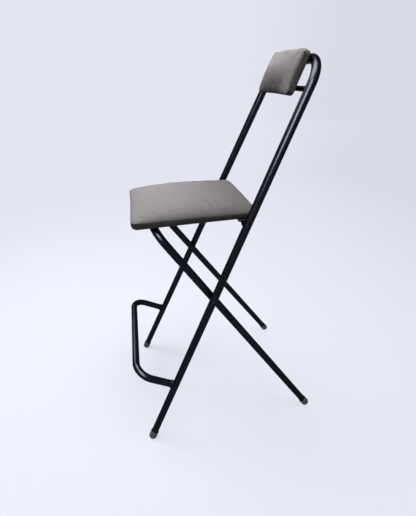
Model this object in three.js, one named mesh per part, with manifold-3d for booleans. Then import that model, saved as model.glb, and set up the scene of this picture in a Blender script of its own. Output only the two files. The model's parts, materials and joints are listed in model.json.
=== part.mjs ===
// Folding bar stool: a tall bent-tube main frame that carries the back pad and the footrest,
// a rear frame riveted to it like scissors, and a seat that hinges on the main frame and
// rests on the rear frame's crossbar.
// Millimetres, +Z up, the sitter faces -Y, +X is the sitter's left.
import * as THREE from 'three';
import { mergeVertices } from 'three/addons/utils/BufferGeometryUtils.js';
import Module from 'manifold-3d';

const wasm = await Module();
wasm.setup();

// Fits shared by all pieces
const clearance = 0.3;
const cutOverrun = 6;

// Frame tube
const tubeDiameter = 22;
const tubeWall = 1.5;
const tubeSides = 16;
const bendSteps = 8;

// Stance: both frames cross at the pivot rivets
const pivotHeight = 498;
const mainLeanDegrees = 24.1;
const rearLeanDegrees = 34.2;
const mainTaperDegrees = 3.95;
const rearTaperDegrees = 5.3;
const mainPivotHalfWidth = 176.9;
const pivotGap = 3;

// Main frame, measured along its legs from the pivot
const backTopReach = 646;
const mainBendRadius = 60;

// Rear frame
const rearBendRadius = 60;

// Footrest: a U of the same tube welded to the front of the main legs
const footrestHeight = 212;
const footrestDepth = 131;
const footrestRiseDegrees = 30;
const footrestHalfWidth = 193;
const footrestBendRadius = 52;
const weldThroat = 2;

// Back support bar, the lower of the two bars behind the back pad
const backBarDiameter = 12;
const backBarWall = 1.5;

// Back pad: its top edge stands above the top bar's centre line, and the lower bar crosses
// behind it a little above its bottom edge
const backPadRise = 10.5;
const backPadHeight = 100;
const backBarInset = 20.5;
const backPadBottomHalfWidth = 98;
const backPadTopHalfWidth = 92;
const backPadSide = 18.5;
const backPadCrown = 17.5;
const backPadCornerRadius = 10;
const backPadDrawIn = 1.5;

// Seat and its hinge
const hingeReach = 238.6;
const hingeDrop = 11;
const seatFrontReach = 297;
const seatRearReach = 33;
const seatHalfWidth = 144;
const seatSide = 15;
const seatCrown = 30;
const seatCornerRadius = 18.5;
const seatDrawIn = 1.5;

// Boards inside the pads
const boardThickness = 12;
const boardCover = 4;
const padHemRounding = 6;

// How fully a crown stands up at its edges: at 1 it is a plain arc, and near 0 a flat top
const crownPowerAcross = 0.3;
const crownPowerAlong = 0.6;

// Hinge bracket under the seat
const bracketPlate = 3;
const earRadius = 13;
const bracketFlangeWidth = 24;
const bracketFlangeFront = 22;
const bracketFlangeRear = 17;
const bracketScrewInset = 13;
const bracketScrewFront = 14;
const bracketScrewRear = 9;

// Seat catch: a strap hook that drops over the crossbar
const catchPlate = 2.5;
const catchWidth = 25;
const catchFlange = 42;
const catchWrapDegrees = 100;
const catchHalfSpacing = 45;
const catchScrewFront = 14;
const catchScrewRear = 32;

// Pins, rivets and washers
const rivetShankDiameter = 6;
const rivetHeadDiameter = 12;
const rivetHeadHeight = 2.6;
const washerDiameter = 14;
const hingePinDiameter = 8;
const hingePinHeadDiameter = 12;
const hingePinHeadHeight = 2.4;
const hingePinWeldDepth = 1.2;
const hingeWasherThickness = 1;

// Screws
const screwDiameter = 4.5;
const screwHeadDiameter = 9;
const screwHeadHeight = 2.8;
const screwBite = 9;
const topScrewHalfSpacing = 40;
const lowScrewHalfSpacing = 60;

// Rubber foot caps
const capDiameter = 26;
const capLength = 29;
const capEndThickness = 6;
const capEndRounding = 8;
const capMouthRounding = 1.5;
const capFlatDepth = 1.5;

// Faces of small round parts
const smallSides = 12;
const headSteps = 3;
const cushionCornerSteps = 5;
const cushionEdgeSteps = 9;
const crownSteps = 9;
const hemSteps = 3;
const capEndSteps = 4;

// Sizes worked out from the ones above
const rad = THREE.MathUtils.degToRad;
const tubeRadius = tubeDiameter / 2;
const mainLean = rad(mainLeanDegrees);
const rearLean = rad(rearLeanDegrees);
const mainSlope = Math.tan(rad(mainTaperDegrees));
const rearSlope = Math.tan(rad(rearTaperDegrees));
const rearPivotHalfWidth = mainPivotHalfWidth - tubeDiameter - pivotGap;
const hingeY = hingeReach * Math.sin(mainLean);
const hingeZ = pivotHeight + hingeReach * Math.cos(mainLean);
const seatBottomZ = hingeZ + hingeDrop;
const crossbarZ = seatBottomZ - clearance - catchPlate - clearance - tubeRadius;
const rearTopReach = (crossbarZ - pivotHeight) / Math.cos(rearLean);
const crossbarY = -rearTopReach * Math.sin(rearLean);
const backPadY = -tubeRadius - clearance;
const backPadTopReach = backTopReach + backPadRise;
const backPadBottomReach = backPadTopReach - backPadHeight;
const backBarReach = backPadBottomReach + backBarInset;
const mainHalfWidth = (reach) => mainPivotHalfWidth - mainSlope * reach;
const rearHalfWidth = (reach) => rearPivotHalfWidth - rearSlope * reach;
const legInnerAtHinge = mainHalfWidth(hingeReach) - tubeRadius;
const washerRadius = washerDiameter / 2;
const hingeWasherOuterX = legInnerAtHinge - mainSlope * washerRadius - clearance;
const earOuterX = hingeWasherOuterX - hingeWasherThickness - clearance;
const earInnerX = earOuterX - bracketPlate;
const sides = [['left', 1], ['right', -1]];

// Finishes
const blackSteel = new THREE.MeshStandardMaterial({ color: 0x15181c, roughness: 0.32, metalness: 0.4 });
const zincSteel = new THREE.MeshStandardMaterial({ color: 0xb4b6b8, roughness: 0.35, metalness: 1 });
const blackRubber = new THREE.MeshStandardMaterial({ color: 0x141416, roughness: 0.75, metalness: 0 });
const plywood = new THREE.MeshStandardMaterial({ color: 0xb58e60, roughness: 0.7, metalness: 0 });
const upholstery = new THREE.MeshStandardMaterial({ color: 0x8b8684, roughness: 0.8, metalness: 0 });

// Solids

function solid(geometry) {
  const bare = geometry.clone();
  bare.deleteAttribute('normal');
  bare.deleteAttribute('uv');
  const merged = mergeVertices(bare);
  return new wasm.Manifold(new wasm.Mesh({
    numProp: 3,
    vertProperties: new Float32Array(merged.attributes.position.array),
    triVerts: new Uint32Array(merged.index.array),
  }));
}

function geometryOf(body) {
  const mesh = body.getMesh();
  const geometry = new THREE.BufferGeometry();
  geometry.setAttribute('position', new THREE.BufferAttribute(mesh.vertProperties, mesh.numProp));
  geometry.setIndex(new THREE.BufferAttribute(mesh.triVerts, 1));
  return geometry;
}

function cut(body, ...tools) {
  return tools.reduce((left, tool) => left.subtract(tool), body);
}

function node(name, geometry, material, parent) {
  const mesh = new THREE.Mesh(geometry, material);
  mesh.name = name;
  parent.add(mesh);
  return mesh;
}

// A closed cylinder from one point to another.
function rod(from, to, radius, sides = tubeSides) {
  const along = new THREE.Vector3().subVectors(to, from);
  const geometry = new THREE.CylinderGeometry(radius, radius, along.length(), sides);
  const turn = new THREE.Quaternion().setFromUnitVectors(new THREE.Vector3(0, 1, 0), along.normalize());
  geometry.applyQuaternion(turn);
  const middle = new THREE.Vector3().addVectors(from, to).divideScalar(2);
  return solid(geometry.translate(middle.x, middle.y, middle.z));
}

// A rod along X through both sides of a frame, at its pivot.
function crossDrill(radius, halfLength) {
  return rod(new THREE.Vector3(-halfLength, 0, 0), new THREE.Vector3(halfLength, 0, 0), radius, smallSides);
}

// Straights joined by round bends. The tube has a ring at each end of a straight, and rings
// all the way round a bend.
class BentPath extends THREE.Curve {
  constructor(corners, bendRadius) {
    super();
    this.stations = [];
    const last = corners.length - 1;
    this.addStation(corners[0], new THREE.Vector3().subVectors(corners[1], corners[0]));
    for (let i = 1; i < last; i += 1) this.addBend(corners[i - 1], corners[i], corners[i + 1], bendRadius);
    this.addStation(corners[last], new THREE.Vector3().subVectors(corners[last], corners[last - 1]));
  }

  addStation(point, tangent) {
    this.stations.push({ point: point.clone(), tangent: tangent.clone().normalize() });
  }

  addBend(before, corner, after, bendRadius) {
    const inward = new THREE.Vector3().subVectors(corner, before).normalize();
    const outward = new THREE.Vector3().subVectors(after, corner).normalize();
    const turn = inward.angleTo(outward);
    const setback = bendRadius * Math.tan(turn / 2);
    const axis = new THREE.Vector3().crossVectors(inward, outward).normalize();
    const toCentre = new THREE.Vector3().crossVectors(axis, inward).multiplyScalar(bendRadius);
    const centre = corner.clone().addScaledVector(inward, -setback).add(toCentre);
    for (let step = 0; step <= bendSteps; step += 1) {
      const angle = turn * (step / bendSteps);
      const spoke = toCentre.clone().negate().applyAxisAngle(axis, angle);
      this.addStation(centre.clone().add(spoke), inward.clone().applyAxisAngle(axis, angle));
    }
  }

  get steps() {
    return this.stations.length - 1;
  }

  station(share) {
    return this.stations[Math.round(share * this.steps)];
  }

  getPoint(share, target = new THREE.Vector3()) {
    return target.copy(this.station(share).point);
  }

  getPointAt(share, target) {
    return this.getPoint(share, target);
  }

  getTangent(share, target = new THREE.Vector3()) {
    return target.copy(this.station(share).tangent);
  }

  getTangentAt(share, target) {
    return this.getTangent(share, target);
  }
}

// A round section swept along a path. A wall leaves it hollow.
function sweep(path, radius, wall = 0) {
  const section = new THREE.Shape().absarc(0, 0, radius, 0, 2 * Math.PI);
  if (wall > 0) section.holes.push(new THREE.Path().absarc(0, 0, radius - wall, 0, 2 * Math.PI, true));
  return solid(new THREE.ExtrudeGeometry(section, {
    steps: path.steps,
    extrudePath: path,
    curveSegments: tubeSides / 2,
    bevelEnabled: false,
  }));
}

// The centre line of a frame: two tapering legs and a top bar, in the frame's own XZ plane.
function frameCorners(halfWidth, footReach, topReach) {
  return [
    new THREE.Vector3(halfWidth(footReach), 0, footReach),
    new THREE.Vector3(halfWidth(topReach), 0, topReach),
    new THREE.Vector3(-halfWidth(topReach), 0, topReach),
    new THREE.Vector3(-halfWidth(footReach), 0, footReach),
  ];
}

// A screw or pin turned about Z: a domed head above z = 0 and a shank below.
function turnedPin(shankRadius, shankLength, headRadius, headHeight) {
  const profile = [new THREE.Vector2(0, -shankLength), new THREE.Vector2(shankRadius, -shankLength)];
  profile.push(new THREE.Vector2(shankRadius, 0), new THREE.Vector2(headRadius, 0));
  for (let step = 1; step <= headSteps; step += 1) {
    const angle = (Math.PI / 2) * (step / headSteps);
    profile.push(new THREE.Vector2(headRadius * Math.cos(angle), headHeight * Math.sin(angle)));
  }
  profile[profile.length - 1].x = 0;
  return new THREE.LatheGeometry(profile, smallSides).rotateX(Math.PI / 2);
}

// A flat ring about X.
function washer(outerRadius, holeRadius, thickness) {
  const half = thickness / 2;
  const profile = [
    new THREE.Vector2(holeRadius, -half),
    new THREE.Vector2(outerRadius, -half),
    new THREE.Vector2(outerRadius, half),
    new THREE.Vector2(holeRadius, half),
    new THREE.Vector2(holeRadius, -half),
  ];
  return new THREE.LatheGeometry(profile, smallSides).rotateZ(Math.PI / 2);
}

// Pads

// A four-cornered outline with round corners, and sides drawn in between them. Low and high
// are its two ends, each with its own half width.
function padOutline({ lowHalf, highHalf, low, high, cornerRadius, drawIn }, inset = 0) {
  const radius = cornerRadius - inset;
  const arcs = [[1, -1], [1, 1], [-1, 1], [-1, -1]].map(([side, end], corner) => {
    const half = (end < 0 ? lowHalf : highHalf) - cornerRadius;
    const centre = new THREE.Vector2(side * half, (end < 0 ? low : high) - end * cornerRadius);
    return Array.from({ length: cushionCornerSteps + 1 }, (_, step) => {
      const angle = (Math.PI / 2) * (corner - 1 + step / cushionCornerSteps);
      const spoke = new THREE.Vector2(Math.cos(angle), Math.sin(angle)).multiplyScalar(radius);
      return spoke.add(centre);
    });
  });
  return arcs.flatMap((arc, corner) => {
    const here = arc[arc.length - 1];
    const next = arcs[(corner + 1) % arcs.length][0];
    const along = new THREE.Vector2().subVectors(next, here);
    const inward = new THREE.Vector2(-along.y, along.x).normalize();
    const side = Array.from({ length: cushionEdgeSteps - 1 }, (_, step) => {
      const share = (step + 1) / cushionEdgeSteps;
      const point = here.clone().addScaledVector(along, share);
      return point.addScaledVector(inward, drawIn * Math.sin(Math.PI * share));
    });
    return [...arc, ...side];
  });
}

// A stack of outlines of the same number of points, closed by a point at each end.
function loft(bottomCentre, loops, topCentre) {
  const count = loops[0].length;
  const vertices = [bottomCentre, ...loops.flat(), topCentre];
  const top = vertices.length - 1;
  const faces = [];
  for (let i = 0; i < count; i += 1) {
    const j = (i + 1) % count;
    faces.push(0, 1 + j, 1 + i);
    for (let loop = 0; loop + 1 < loops.length; loop += 1) {
      const low = 1 + loop * count;
      const high = low + count;
      faces.push(low + i, low + j, high + j, low + i, high + j, high + i);
    }
    const lastLoop = 1 + (loops.length - 1) * count;
    faces.push(top, lastLoop + i, lastLoop + j);
  }
  const geometry = new THREE.BufferGeometry().setFromPoints(vertices);
  return geometry.setIndex(faces);
}

// One loop of a crown: the outline at a share of its size. Its height falls to nothing at the
// outline on all four sides, by one power across the pad and another along it.
function crownLoop(base, { lowHalf, highHalf, low, high }, share, side, crown) {
  const middle = (low + high) / 2;
  const halfAcross = (lowHalf + highHalf) / 2;
  const halfAlong = (high - low) / 2;
  return base.map((point) => {
    const across = Math.abs(point.x) / halfAcross;
    const along = Math.abs(point.y - middle) / halfAlong;
    const farther = Math.max(across, along);
    const fallAcross = (1 - (share * across / farther) ** 2) ** crownPowerAcross;
    const fallAlong = (1 - (share * along / farther) ** 2) ** crownPowerAlong;
    const height = side + crown * fallAcross * fallAlong;
    return new THREE.Vector3(point.x * share, middle + (point.y - middle) * share, height);
  });
}

// A crowned pad: a rounded hem, straight sides, then a crown that is steep at the edge and
// flatter in the middle. The board sits in a pocket in its flat side.
function paddedForm(outline, side, crown, board) {
  const middle = (outline.low + outline.high) / 2;
  const base = padOutline(outline);
  const loopAt = (points, height) => points.map((point) => new THREE.Vector3(point.x, point.y, height));
  const loops = [];
  for (let step = 0; step <= hemSteps; step += 1) {
    const angle = (Math.PI / 2) * (step / hemSteps);
    const inset = padHemRounding * (1 - Math.sin(angle));
    loops.push(loopAt(padOutline(outline, inset), padHemRounding * (1 - Math.cos(angle))));
  }
  loops.push(loopAt(base, side));
  for (let step = 1; step < crownSteps; step += 1) {
    const share = Math.cos((Math.PI / 2) * (step / crownSteps));
    loops.push(crownLoop(base, outline, share, side, crown));
  }
  const form = loft(new THREE.Vector3(0, middle, 0), loops, new THREE.Vector3(0, middle, side + crown));
  return cut(solid(form), solid(board(clearance)));
}

// The plywood board inside a pad, grown by an allowance when it serves to cut its pocket.
function boardForm(outline, allowance = 0) {
  const shape = new THREE.Shape(padOutline(outline, boardCover - allowance));
  const depth = boardThickness + allowance + (allowance > 0 ? cutOverrun : 0);
  const geometry = new THREE.ExtrudeGeometry(shape, { depth, bevelEnabled: false });
  return geometry.translate(0, 0, allowance > 0 ? -cutOverrun : 0);
}

// Pilot holes in the flat side of a board.
function drilledBoard(outline, holes) {
  const radius = screwDiameter / 2 + clearance;
  const drills = holes.map(([u, v]) => rod(
    new THREE.Vector3(u, v, -cutOverrun),
    new THREE.Vector3(u, v, screwBite + clearance),
    radius,
    smallSides,
  ));
  return cut(solid(boardForm(outline)), ...drills);
}

// Rubber cap on a leg's end, turned to the leg's direction. The floor cuts a small flat on it.
function footCap(direction) {
  const radius = capDiameter / 2;
  const bore = tubeRadius + clearance;
  const profile = [new THREE.Vector2(0, 0)];
  for (let step = 0; step <= capEndSteps; step += 1) {
    const angle = (Math.PI / 2) * (step / capEndSteps);
    profile.push(new THREE.Vector2(
      radius - capEndRounding + capEndRounding * Math.sin(angle),
      capEndRounding - capEndRounding * Math.cos(angle),
    ));
  }
  profile.push(new THREE.Vector2(radius, capLength - capMouthRounding));
  profile.push(new THREE.Vector2(radius - capMouthRounding / 2, capLength));
  profile.push(new THREE.Vector2(bore, capLength), new THREE.Vector2(bore, capEndThickness));
  profile.push(new THREE.Vector2(0, capEndThickness));
  const turn = new THREE.Quaternion().setFromUnitVectors(new THREE.Vector3(0, 1, 0), direction);
  const cap = new THREE.LatheGeometry(profile, tubeSides).applyQuaternion(turn);
  cap.translate(0, 0, capAxisHeight(direction));
  const floor = new THREE.BoxGeometry(capLength * 2, capLength * 2, capLength);
  return cut(solid(cap), solid(floor.translate(0, 0, -capLength / 2)));
}

// Height of a cap's axis end above the floor, so that the floor cuts the flat's depth.
function capAxisHeight(direction) {
  const upright = direction.z;
  const sideways = Math.sqrt(1 - upright * upright);
  const lowest = capEndRounding * upright - (capDiameter / 2 - capEndRounding) * sideways - capEndRounding;
  return -lowest - capFlatDepth;
}

// A leg's upward direction in the stool's frame. A lean is positive towards the sitter's back.
function legDirection(side, taper, lean) {
  const across = -side * Math.sin(taper);
  return new THREE.Vector3(across, Math.cos(taper) * Math.sin(lean), Math.cos(taper) * Math.cos(lean));
}

// Reach, along a frame from the pivot, at which a leg's tube ends inside its cap.
function tubeEndReach(taper, lean) {
  const axisEnd = (capAxisHeight(legDirection(1, taper, lean)) - pivotHeight) / Math.cos(lean);
  return axisEnd + (capEndThickness + clearance) * Math.cos(taper);
}

function addFootCaps(name, taper, lean, halfWidth, parent) {
  for (const [label, side] of sides) {
    const direction = legDirection(side, taper, lean);
    const height = capAxisHeight(direction);
    const reach = (height - pivotHeight) / Math.cos(lean);
    const cap = node(`${name}_${label}`, geometryOf(footCap(direction)), blackRubber, parent);
    cap.position.set(side * halfWidth(reach), reach * Math.sin(lean), 0);
  }
}

const mainFootReach = tubeEndReach(rad(mainTaperDegrees), mainLean);
const mainPath = new BentPath(frameCorners(mainHalfWidth, mainFootReach, backTopReach), mainBendRadius);
const rearFootReach = tubeEndReach(rad(rearTaperDegrees), rearLean);
const rearPath = new BentPath(frameCorners(rearHalfWidth, rearFootReach, rearTopReach), rearBendRadius);

// A tube that meets the main legs at both ends: coped to them, with a weld bead at each end.
function weldedBetweenLegs(body, radius, wall, armEnds) {
  const collar = sweep(mainPath, tubeRadius + weldThroat);
  const beads = armEnds.map(([from, to]) => {
    const sleeve = cut(rod(from, to, radius + weldThroat), rod(from, to, radius - wall));
    return sleeve.intersect(collar);
  });
  const welded = beads.reduce((whole, bead) => whole.add(bead), body);
  return cut(welded, sweep(mainPath, tubeRadius + clearance));
}

// The stretch of an arm that its weld bead lies on, from just inside the leg's front.
function beadSpan(atLeg, farEnd) {
  const along = new THREE.Vector3().subVectors(farEnd, atLeg).normalize();
  const from = atLeg.clone().addScaledVector(along, tubeRadius / 2);
  return [from, atLeg.clone().addScaledVector(along, tubeDiameter)];
}

function footrestTube() {
  const reach = (footrestHeight - pivotHeight) / Math.cos(mainLean);
  const tilt = rad(footrestRiseDegrees) - mainLean;
  const barY = -footrestDepth * Math.cos(tilt);
  const barReach = reach + footrestDepth * Math.sin(tilt);
  const atLeg = (side) => new THREE.Vector3(side * mainHalfWidth(reach), 0, reach);
  const atBar = (side) => new THREE.Vector3(side * footrestHalfWidth, barY, barReach);
  const corners = [atLeg(1), atBar(1), atBar(-1), atLeg(-1)];
  const body = sweep(new BentPath(corners, footrestBendRadius), tubeRadius, tubeWall);
  const arms = sides.map(([, side]) => beadSpan(atLeg(side), atBar(side)));
  return weldedBetweenLegs(body, tubeRadius, tubeWall, arms);
}

function backSupportBar() {
  const radius = backBarDiameter / 2;
  const y = radius - tubeRadius;
  const end = (side) => new THREE.Vector3(side * mainHalfWidth(backBarReach), y, backBarReach);
  const body = cut(rod(end(1), end(-1), radius), rod(end(1), end(-1), radius - backBarWall));
  const arms = sides.map(([, side]) => beadSpan(end(side), end(-side)));
  const drills = screwDrills(lowScrewHalfSpacing, backBarReach);
  return cut(weldedBetweenLegs(body, radius, backBarWall, arms), ...drills);
}

// Holes for the back pad's screws through a bar of the main frame, front to rear.
function screwDrills(halfSpacing, reach) {
  const depth = tubeDiameter + cutOverrun;
  return sides.map(([, side]) => rod(
    new THREE.Vector3(side * halfSpacing, -depth, reach),
    new THREE.Vector3(side * halfSpacing, depth, reach),
    screwDiameter / 2 + clearance,
    smallSides,
  ));
}

function mainFrameTube() {
  const pivotHole = crossDrill(rivetShankDiameter / 2 + clearance, mainPivotHalfWidth + tubeDiameter);
  const pinHoles = sides.map(([, side]) => rod(
    new THREE.Vector3(side * mainHalfWidth(hingeReach), 0, hingeReach),
    new THREE.Vector3(side * (legInnerAtHinge - cutOverrun), 0, hingeReach),
    hingePinDiameter / 2 + clearance,
    smallSides,
  ));
  const padHoles = screwDrills(topScrewHalfSpacing, backTopReach);
  return cut(sweep(mainPath, tubeRadius, tubeWall), pivotHole, ...pinHoles, ...padHoles);
}

function rearFrameTube() {
  const pivotHole = crossDrill(rivetShankDiameter / 2 + clearance, mainPivotHalfWidth + tubeDiameter);
  return cut(sweep(rearPath, tubeRadius, tubeWall), pivotHole);
}

// A rivet along X: a shank with a domed head at each end.
function pivotRivet(grip) {
  const half = grip / 2;
  const shank = rivetShankDiameter / 2;
  const head = turnedPin(shank, half + clearance, rivetHeadDiameter / 2, rivetHeadHeight);
  const upper = solid(head.clone().translate(0, 0, half));
  const lower = solid(head.clone().rotateX(Math.PI).translate(0, 0, -half));
  return geometryOf(upper.add(lower)).rotateY(Math.PI / 2);
}

function addPivots(parent) {
  const headRadius = rivetHeadDiameter / 2;
  const outerX = mainPivotHalfWidth + tubeRadius + mainSlope * headRadius + clearance;
  const innerX = rearPivotHalfWidth - tubeRadius - rearSlope * headRadius - clearance;
  const washerOuter = mainPivotHalfWidth - tubeRadius - mainSlope * washerRadius - clearance;
  const washerInner = rearPivotHalfWidth + tubeRadius + rearSlope * washerRadius + clearance;
  const hole = rivetShankDiameter / 2 + clearance;
  for (const [label, side] of sides) {
    const rivet = node(`pivot_rivet_${label}`, pivotRivet(outerX - innerX), blackSteel, parent);
    rivet.position.x = side * (outerX + innerX) / 2;
    const ring = node(
      `pivot_washer_${label}`,
      washer(washerRadius, hole, washerOuter - washerInner),
      blackRubber,
      parent,
    );
    ring.position.x = side * (washerOuter + washerInner) / 2;
  }
}

function addHingePins(parent) {
  const hole = hingePinDiameter / 2 + clearance;
  const headX = earInnerX - clearance;
  const endX = legInnerAtHinge + tubeWall + hingePinWeldDepth;
  for (const [label, side] of sides) {
    const form = turnedPin(
      hingePinDiameter / 2,
      endX - headX,
      hingePinHeadDiameter / 2,
      hingePinHeadHeight,
    );
    const pin = node(`seat_hinge_pin_${label}`, form, zincSteel, parent);
    pin.rotation.y = -side * Math.PI / 2;
    pin.position.set(side * headX, 0, hingeReach);
    const ring = washer(washerRadius, hole, hingeWasherThickness);
    const seat = node(`seat_hinge_washer_${label}`, ring, blackRubber, parent);
    seat.position.set(side * (hingeWasherOuterX - hingeWasherThickness / 2), 0, hingeReach);
  }
}

const backPadOutline = {
  lowHalf: backPadBottomHalfWidth,
  highHalf: backPadTopHalfWidth,
  low: backPadBottomReach,
  high: backPadTopReach,
  cornerRadius: backPadCornerRadius,
  drawIn: backPadDrawIn,
};

// The pad lies flat side to the bars, so its group turns its height to the front.
function addBackPad(parent) {
  const pad = new THREE.Group();
  pad.rotation.x = Math.PI / 2;
  pad.position.y = backPadY;
  parent.add(pad);
  const holes = [
    [topScrewHalfSpacing, backTopReach],
    [-topScrewHalfSpacing, backTopReach],
    [lowScrewHalfSpacing, backBarReach],
    [-lowScrewHalfSpacing, backBarReach],
  ];
  node('backrest_board', geometryOf(drilledBoard(backPadOutline, holes)), plywood, pad);
  const board = (allowance) => boardForm(backPadOutline, allowance);
  const cushion = paddedForm(backPadOutline, backPadSide, backPadCrown, board);
  node('backrest_cushion', geometryOf(cushion), upholstery, pad);
}

function addBackScrews(parent) {
  const rows = [
    ['top', topScrewHalfSpacing, backTopReach, tubeRadius],
    ['low', lowScrewHalfSpacing, backBarReach, backBarDiameter - tubeRadius],
  ];
  for (const [row, halfSpacing, reach, rearY] of rows) {
    const headY = rearY + clearance;
    const shank = headY - backPadY + screwBite;
    for (const [label, side] of sides) {
      const form = turnedPin(screwDiameter / 2, shank, screwHeadDiameter / 2, screwHeadHeight);
      const screw = node(`backrest_screw_${row}_${label}`, form, zincSteel, parent);
      screw.rotation.x = -Math.PI / 2;
      screw.position.set(side * halfSpacing, headY, reach);
    }
  }
}

const seatOutline = {
  lowHalf: seatHalfWidth,
  highHalf: seatHalfWidth,
  low: -seatFrontReach,
  high: seatRearReach,
  cornerRadius: seatCornerRadius,
  drawIn: seatDrawIn,
};

// Turns an outline drawn in Y and Z, and extruded, so that its depth runs along X.
const sideways = new THREE.Matrix4().makeBasis(
  new THREE.Vector3(0, 1, 0),
  new THREE.Vector3(0, 0, 1),
  new THREE.Vector3(1, 0, 0),
);

// An angle plate: an ear on the hinge pin and a flange under the board.
function hingeBracket(side, screwSpots) {
  const top = hingeDrop - clearance;
  const bottom = top - bracketPlate;
  const outline = new THREE.Shape();
  outline.moveTo(-bracketFlangeFront, top);
  outline.lineTo(-bracketFlangeFront, bottom);
  outline.quadraticCurveTo(-earRadius, bottom, -earRadius, 0);
  outline.absarc(0, 0, earRadius, Math.PI, 2 * Math.PI);
  outline.quadraticCurveTo(earRadius, bottom, bracketFlangeRear, bottom);
  outline.lineTo(bracketFlangeRear, top);
  const plate = { depth: bracketPlate, bevelEnabled: false, curveSegments: smallSides / 2 };
  const ear = new THREE.ExtrudeGeometry(outline, plate).applyMatrix4(sideways);
  const length = bracketFlangeFront + bracketFlangeRear;
  const flange = new THREE.BoxGeometry(bracketFlangeWidth, length, bracketPlate);
  flange.translate(
    earOuterX - bracketFlangeWidth / 2,
    (bracketFlangeRear - bracketFlangeFront) / 2,
    (top + bottom) / 2,
  );
  const whole = solid(ear.translate(earInnerX, 0, 0)).add(solid(flange));
  const pinHole = rod(
    new THREE.Vector3(earInnerX - cutOverrun, 0, 0),
    new THREE.Vector3(earOuterX + cutOverrun, 0, 0),
    hingePinDiameter / 2 + clearance,
    smallSides,
  );
  const left = cut(whole, pinHole);
  return cut(side > 0 ? left : left.mirror([1, 0, 0]), ...plateHoles(screwSpots, bottom));
}

// Holes straight up through a plate under the seat.
function plateHoles(spots, bottom) {
  return spots.map(([x, y]) => rod(
    new THREE.Vector3(x, y, bottom - cutOverrun),
    new THREE.Vector3(x, y, hingeDrop + cutOverrun),
    screwDiameter / 2 + clearance,
    smallSides,
  ));
}

// A strap that lies under the board and hooks over the crossbar to its front.
function seatCatch(x, screwSpots) {
  const inner = tubeRadius + clearance;
  const outer = inner + catchPlate;
  const barY = crossbarY - hingeY;
  const barZ = crossbarZ - hingeZ;
  const start = Math.PI / 2;
  const end = start + rad(catchWrapDegrees);
  const outline = new THREE.Shape();
  outline.moveTo(barY + catchFlange, barZ + outer);
  outline.absarc(barY, barZ, outer, start, end);
  outline.absarc(barY, barZ, inner, end, start, true);
  outline.lineTo(barY + catchFlange, barZ + inner);
  const strap = { depth: catchWidth, bevelEnabled: false, curveSegments: smallSides / 2 };
  const form = new THREE.ExtrudeGeometry(outline, strap).applyMatrix4(sideways);
  form.translate(x - catchWidth / 2, 0, 0);
  return cut(solid(form), ...plateHoles(screwSpots, hingeDrop - catchPlate));
}

function addUndersideScrews(name, label, spots, plate, parent) {
  const headZ = hingeDrop - clearance - plate - clearance;
  const shank = hingeDrop - headZ + screwBite;
  spots.forEach(([x, y], index) => {
    const form = turnedPin(screwDiameter / 2, shank, screwHeadDiameter / 2, screwHeadHeight);
    const screw = node(`${name}_${label}_${index + 1}`, form, zincSteel, parent);
    screw.rotation.x = Math.PI;
    screw.position.set(x, y, headZ);
  });
}

function addSeat(parent) {
  const barY = crossbarY - hingeY;
  const bracketX = earOuterX - bracketScrewInset;
  const bracketSpots = (side) => [
    [side * bracketX, -bracketScrewFront],
    [side * bracketX, bracketScrewRear],
  ];
  const catchSpots = (side) => [
    [side * catchHalfSpacing, barY + catchScrewFront],
    [side * catchHalfSpacing, barY + catchScrewRear],
  ];
  const allSpots = sides.flatMap(([, side]) => [...bracketSpots(side), ...catchSpots(side)]);
  const pad = new THREE.Group();
  pad.position.z = hingeDrop;
  parent.add(pad);
  node('seat_board', geometryOf(drilledBoard(seatOutline, allSpots)), plywood, pad);
  const board = (allowance) => boardForm(seatOutline, allowance);
  const cushion = paddedForm(seatOutline, seatSide, seatCrown, board);
  node('seat_cushion', geometryOf(cushion), upholstery, pad);
  for (const [label, side] of sides) {
    const bracket = hingeBracket(side, bracketSpots(side));
    node(`seat_hinge_bracket_${label}`, geometryOf(bracket), blackSteel, parent);
    const hook = seatCatch(side * catchHalfSpacing, catchSpots(side));
    node(`seat_catch_${label}`, geometryOf(hook), blackSteel, parent);
    addUndersideScrews('hinge_screw', label, bracketSpots(side), bracketPlate, parent);
    addUndersideScrews('catch_screw', label, catchSpots(side), catchPlate, parent);
  }
}

// The stool, opened for use

const stool = new THREE.Group();

const mainFrame = new THREE.Group();
mainFrame.position.z = pivotHeight;
mainFrame.rotation.x = -mainLean;
stool.add(mainFrame);
node('main_frame_tube', geometryOf(mainFrameTube()), blackSteel, mainFrame);
node('footrest_tube', geometryOf(footrestTube()), blackSteel, mainFrame);
node('back_support_bar', geometryOf(backSupportBar()), blackSteel, mainFrame);
addBackPad(mainFrame);
addBackScrews(mainFrame);
addPivots(mainFrame);
addHingePins(mainFrame);
addFootCaps('front_foot_cap', rad(mainTaperDegrees), mainLean, mainHalfWidth, stool);

const rearFrame = new THREE.Group();
rearFrame.position.z = pivotHeight;
rearFrame.rotation.x = rearLean;
stool.add(rearFrame);
node('rear_frame_tube', geometryOf(rearFrameTube()), blackSteel, rearFrame);
addFootCaps('rear_foot_cap', rad(rearTaperDegrees), -rearLean, rearHalfWidth, stool);

const seat = new THREE.Group();
seat.position.set(0, hingeY, hingeZ);
stool.add(seat);
addSeat(seat);

// The origin is on the floor, under the middle of the stool's length.
const extent = new THREE.Box3().setFromObject(stool);
stool.position.y = -(extent.min.y + extent.max.y) / 2;

export default stool;
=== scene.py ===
"""A folding bar stool: bent black tubes, two padded pieces, and the fasteners that join them."""

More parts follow.
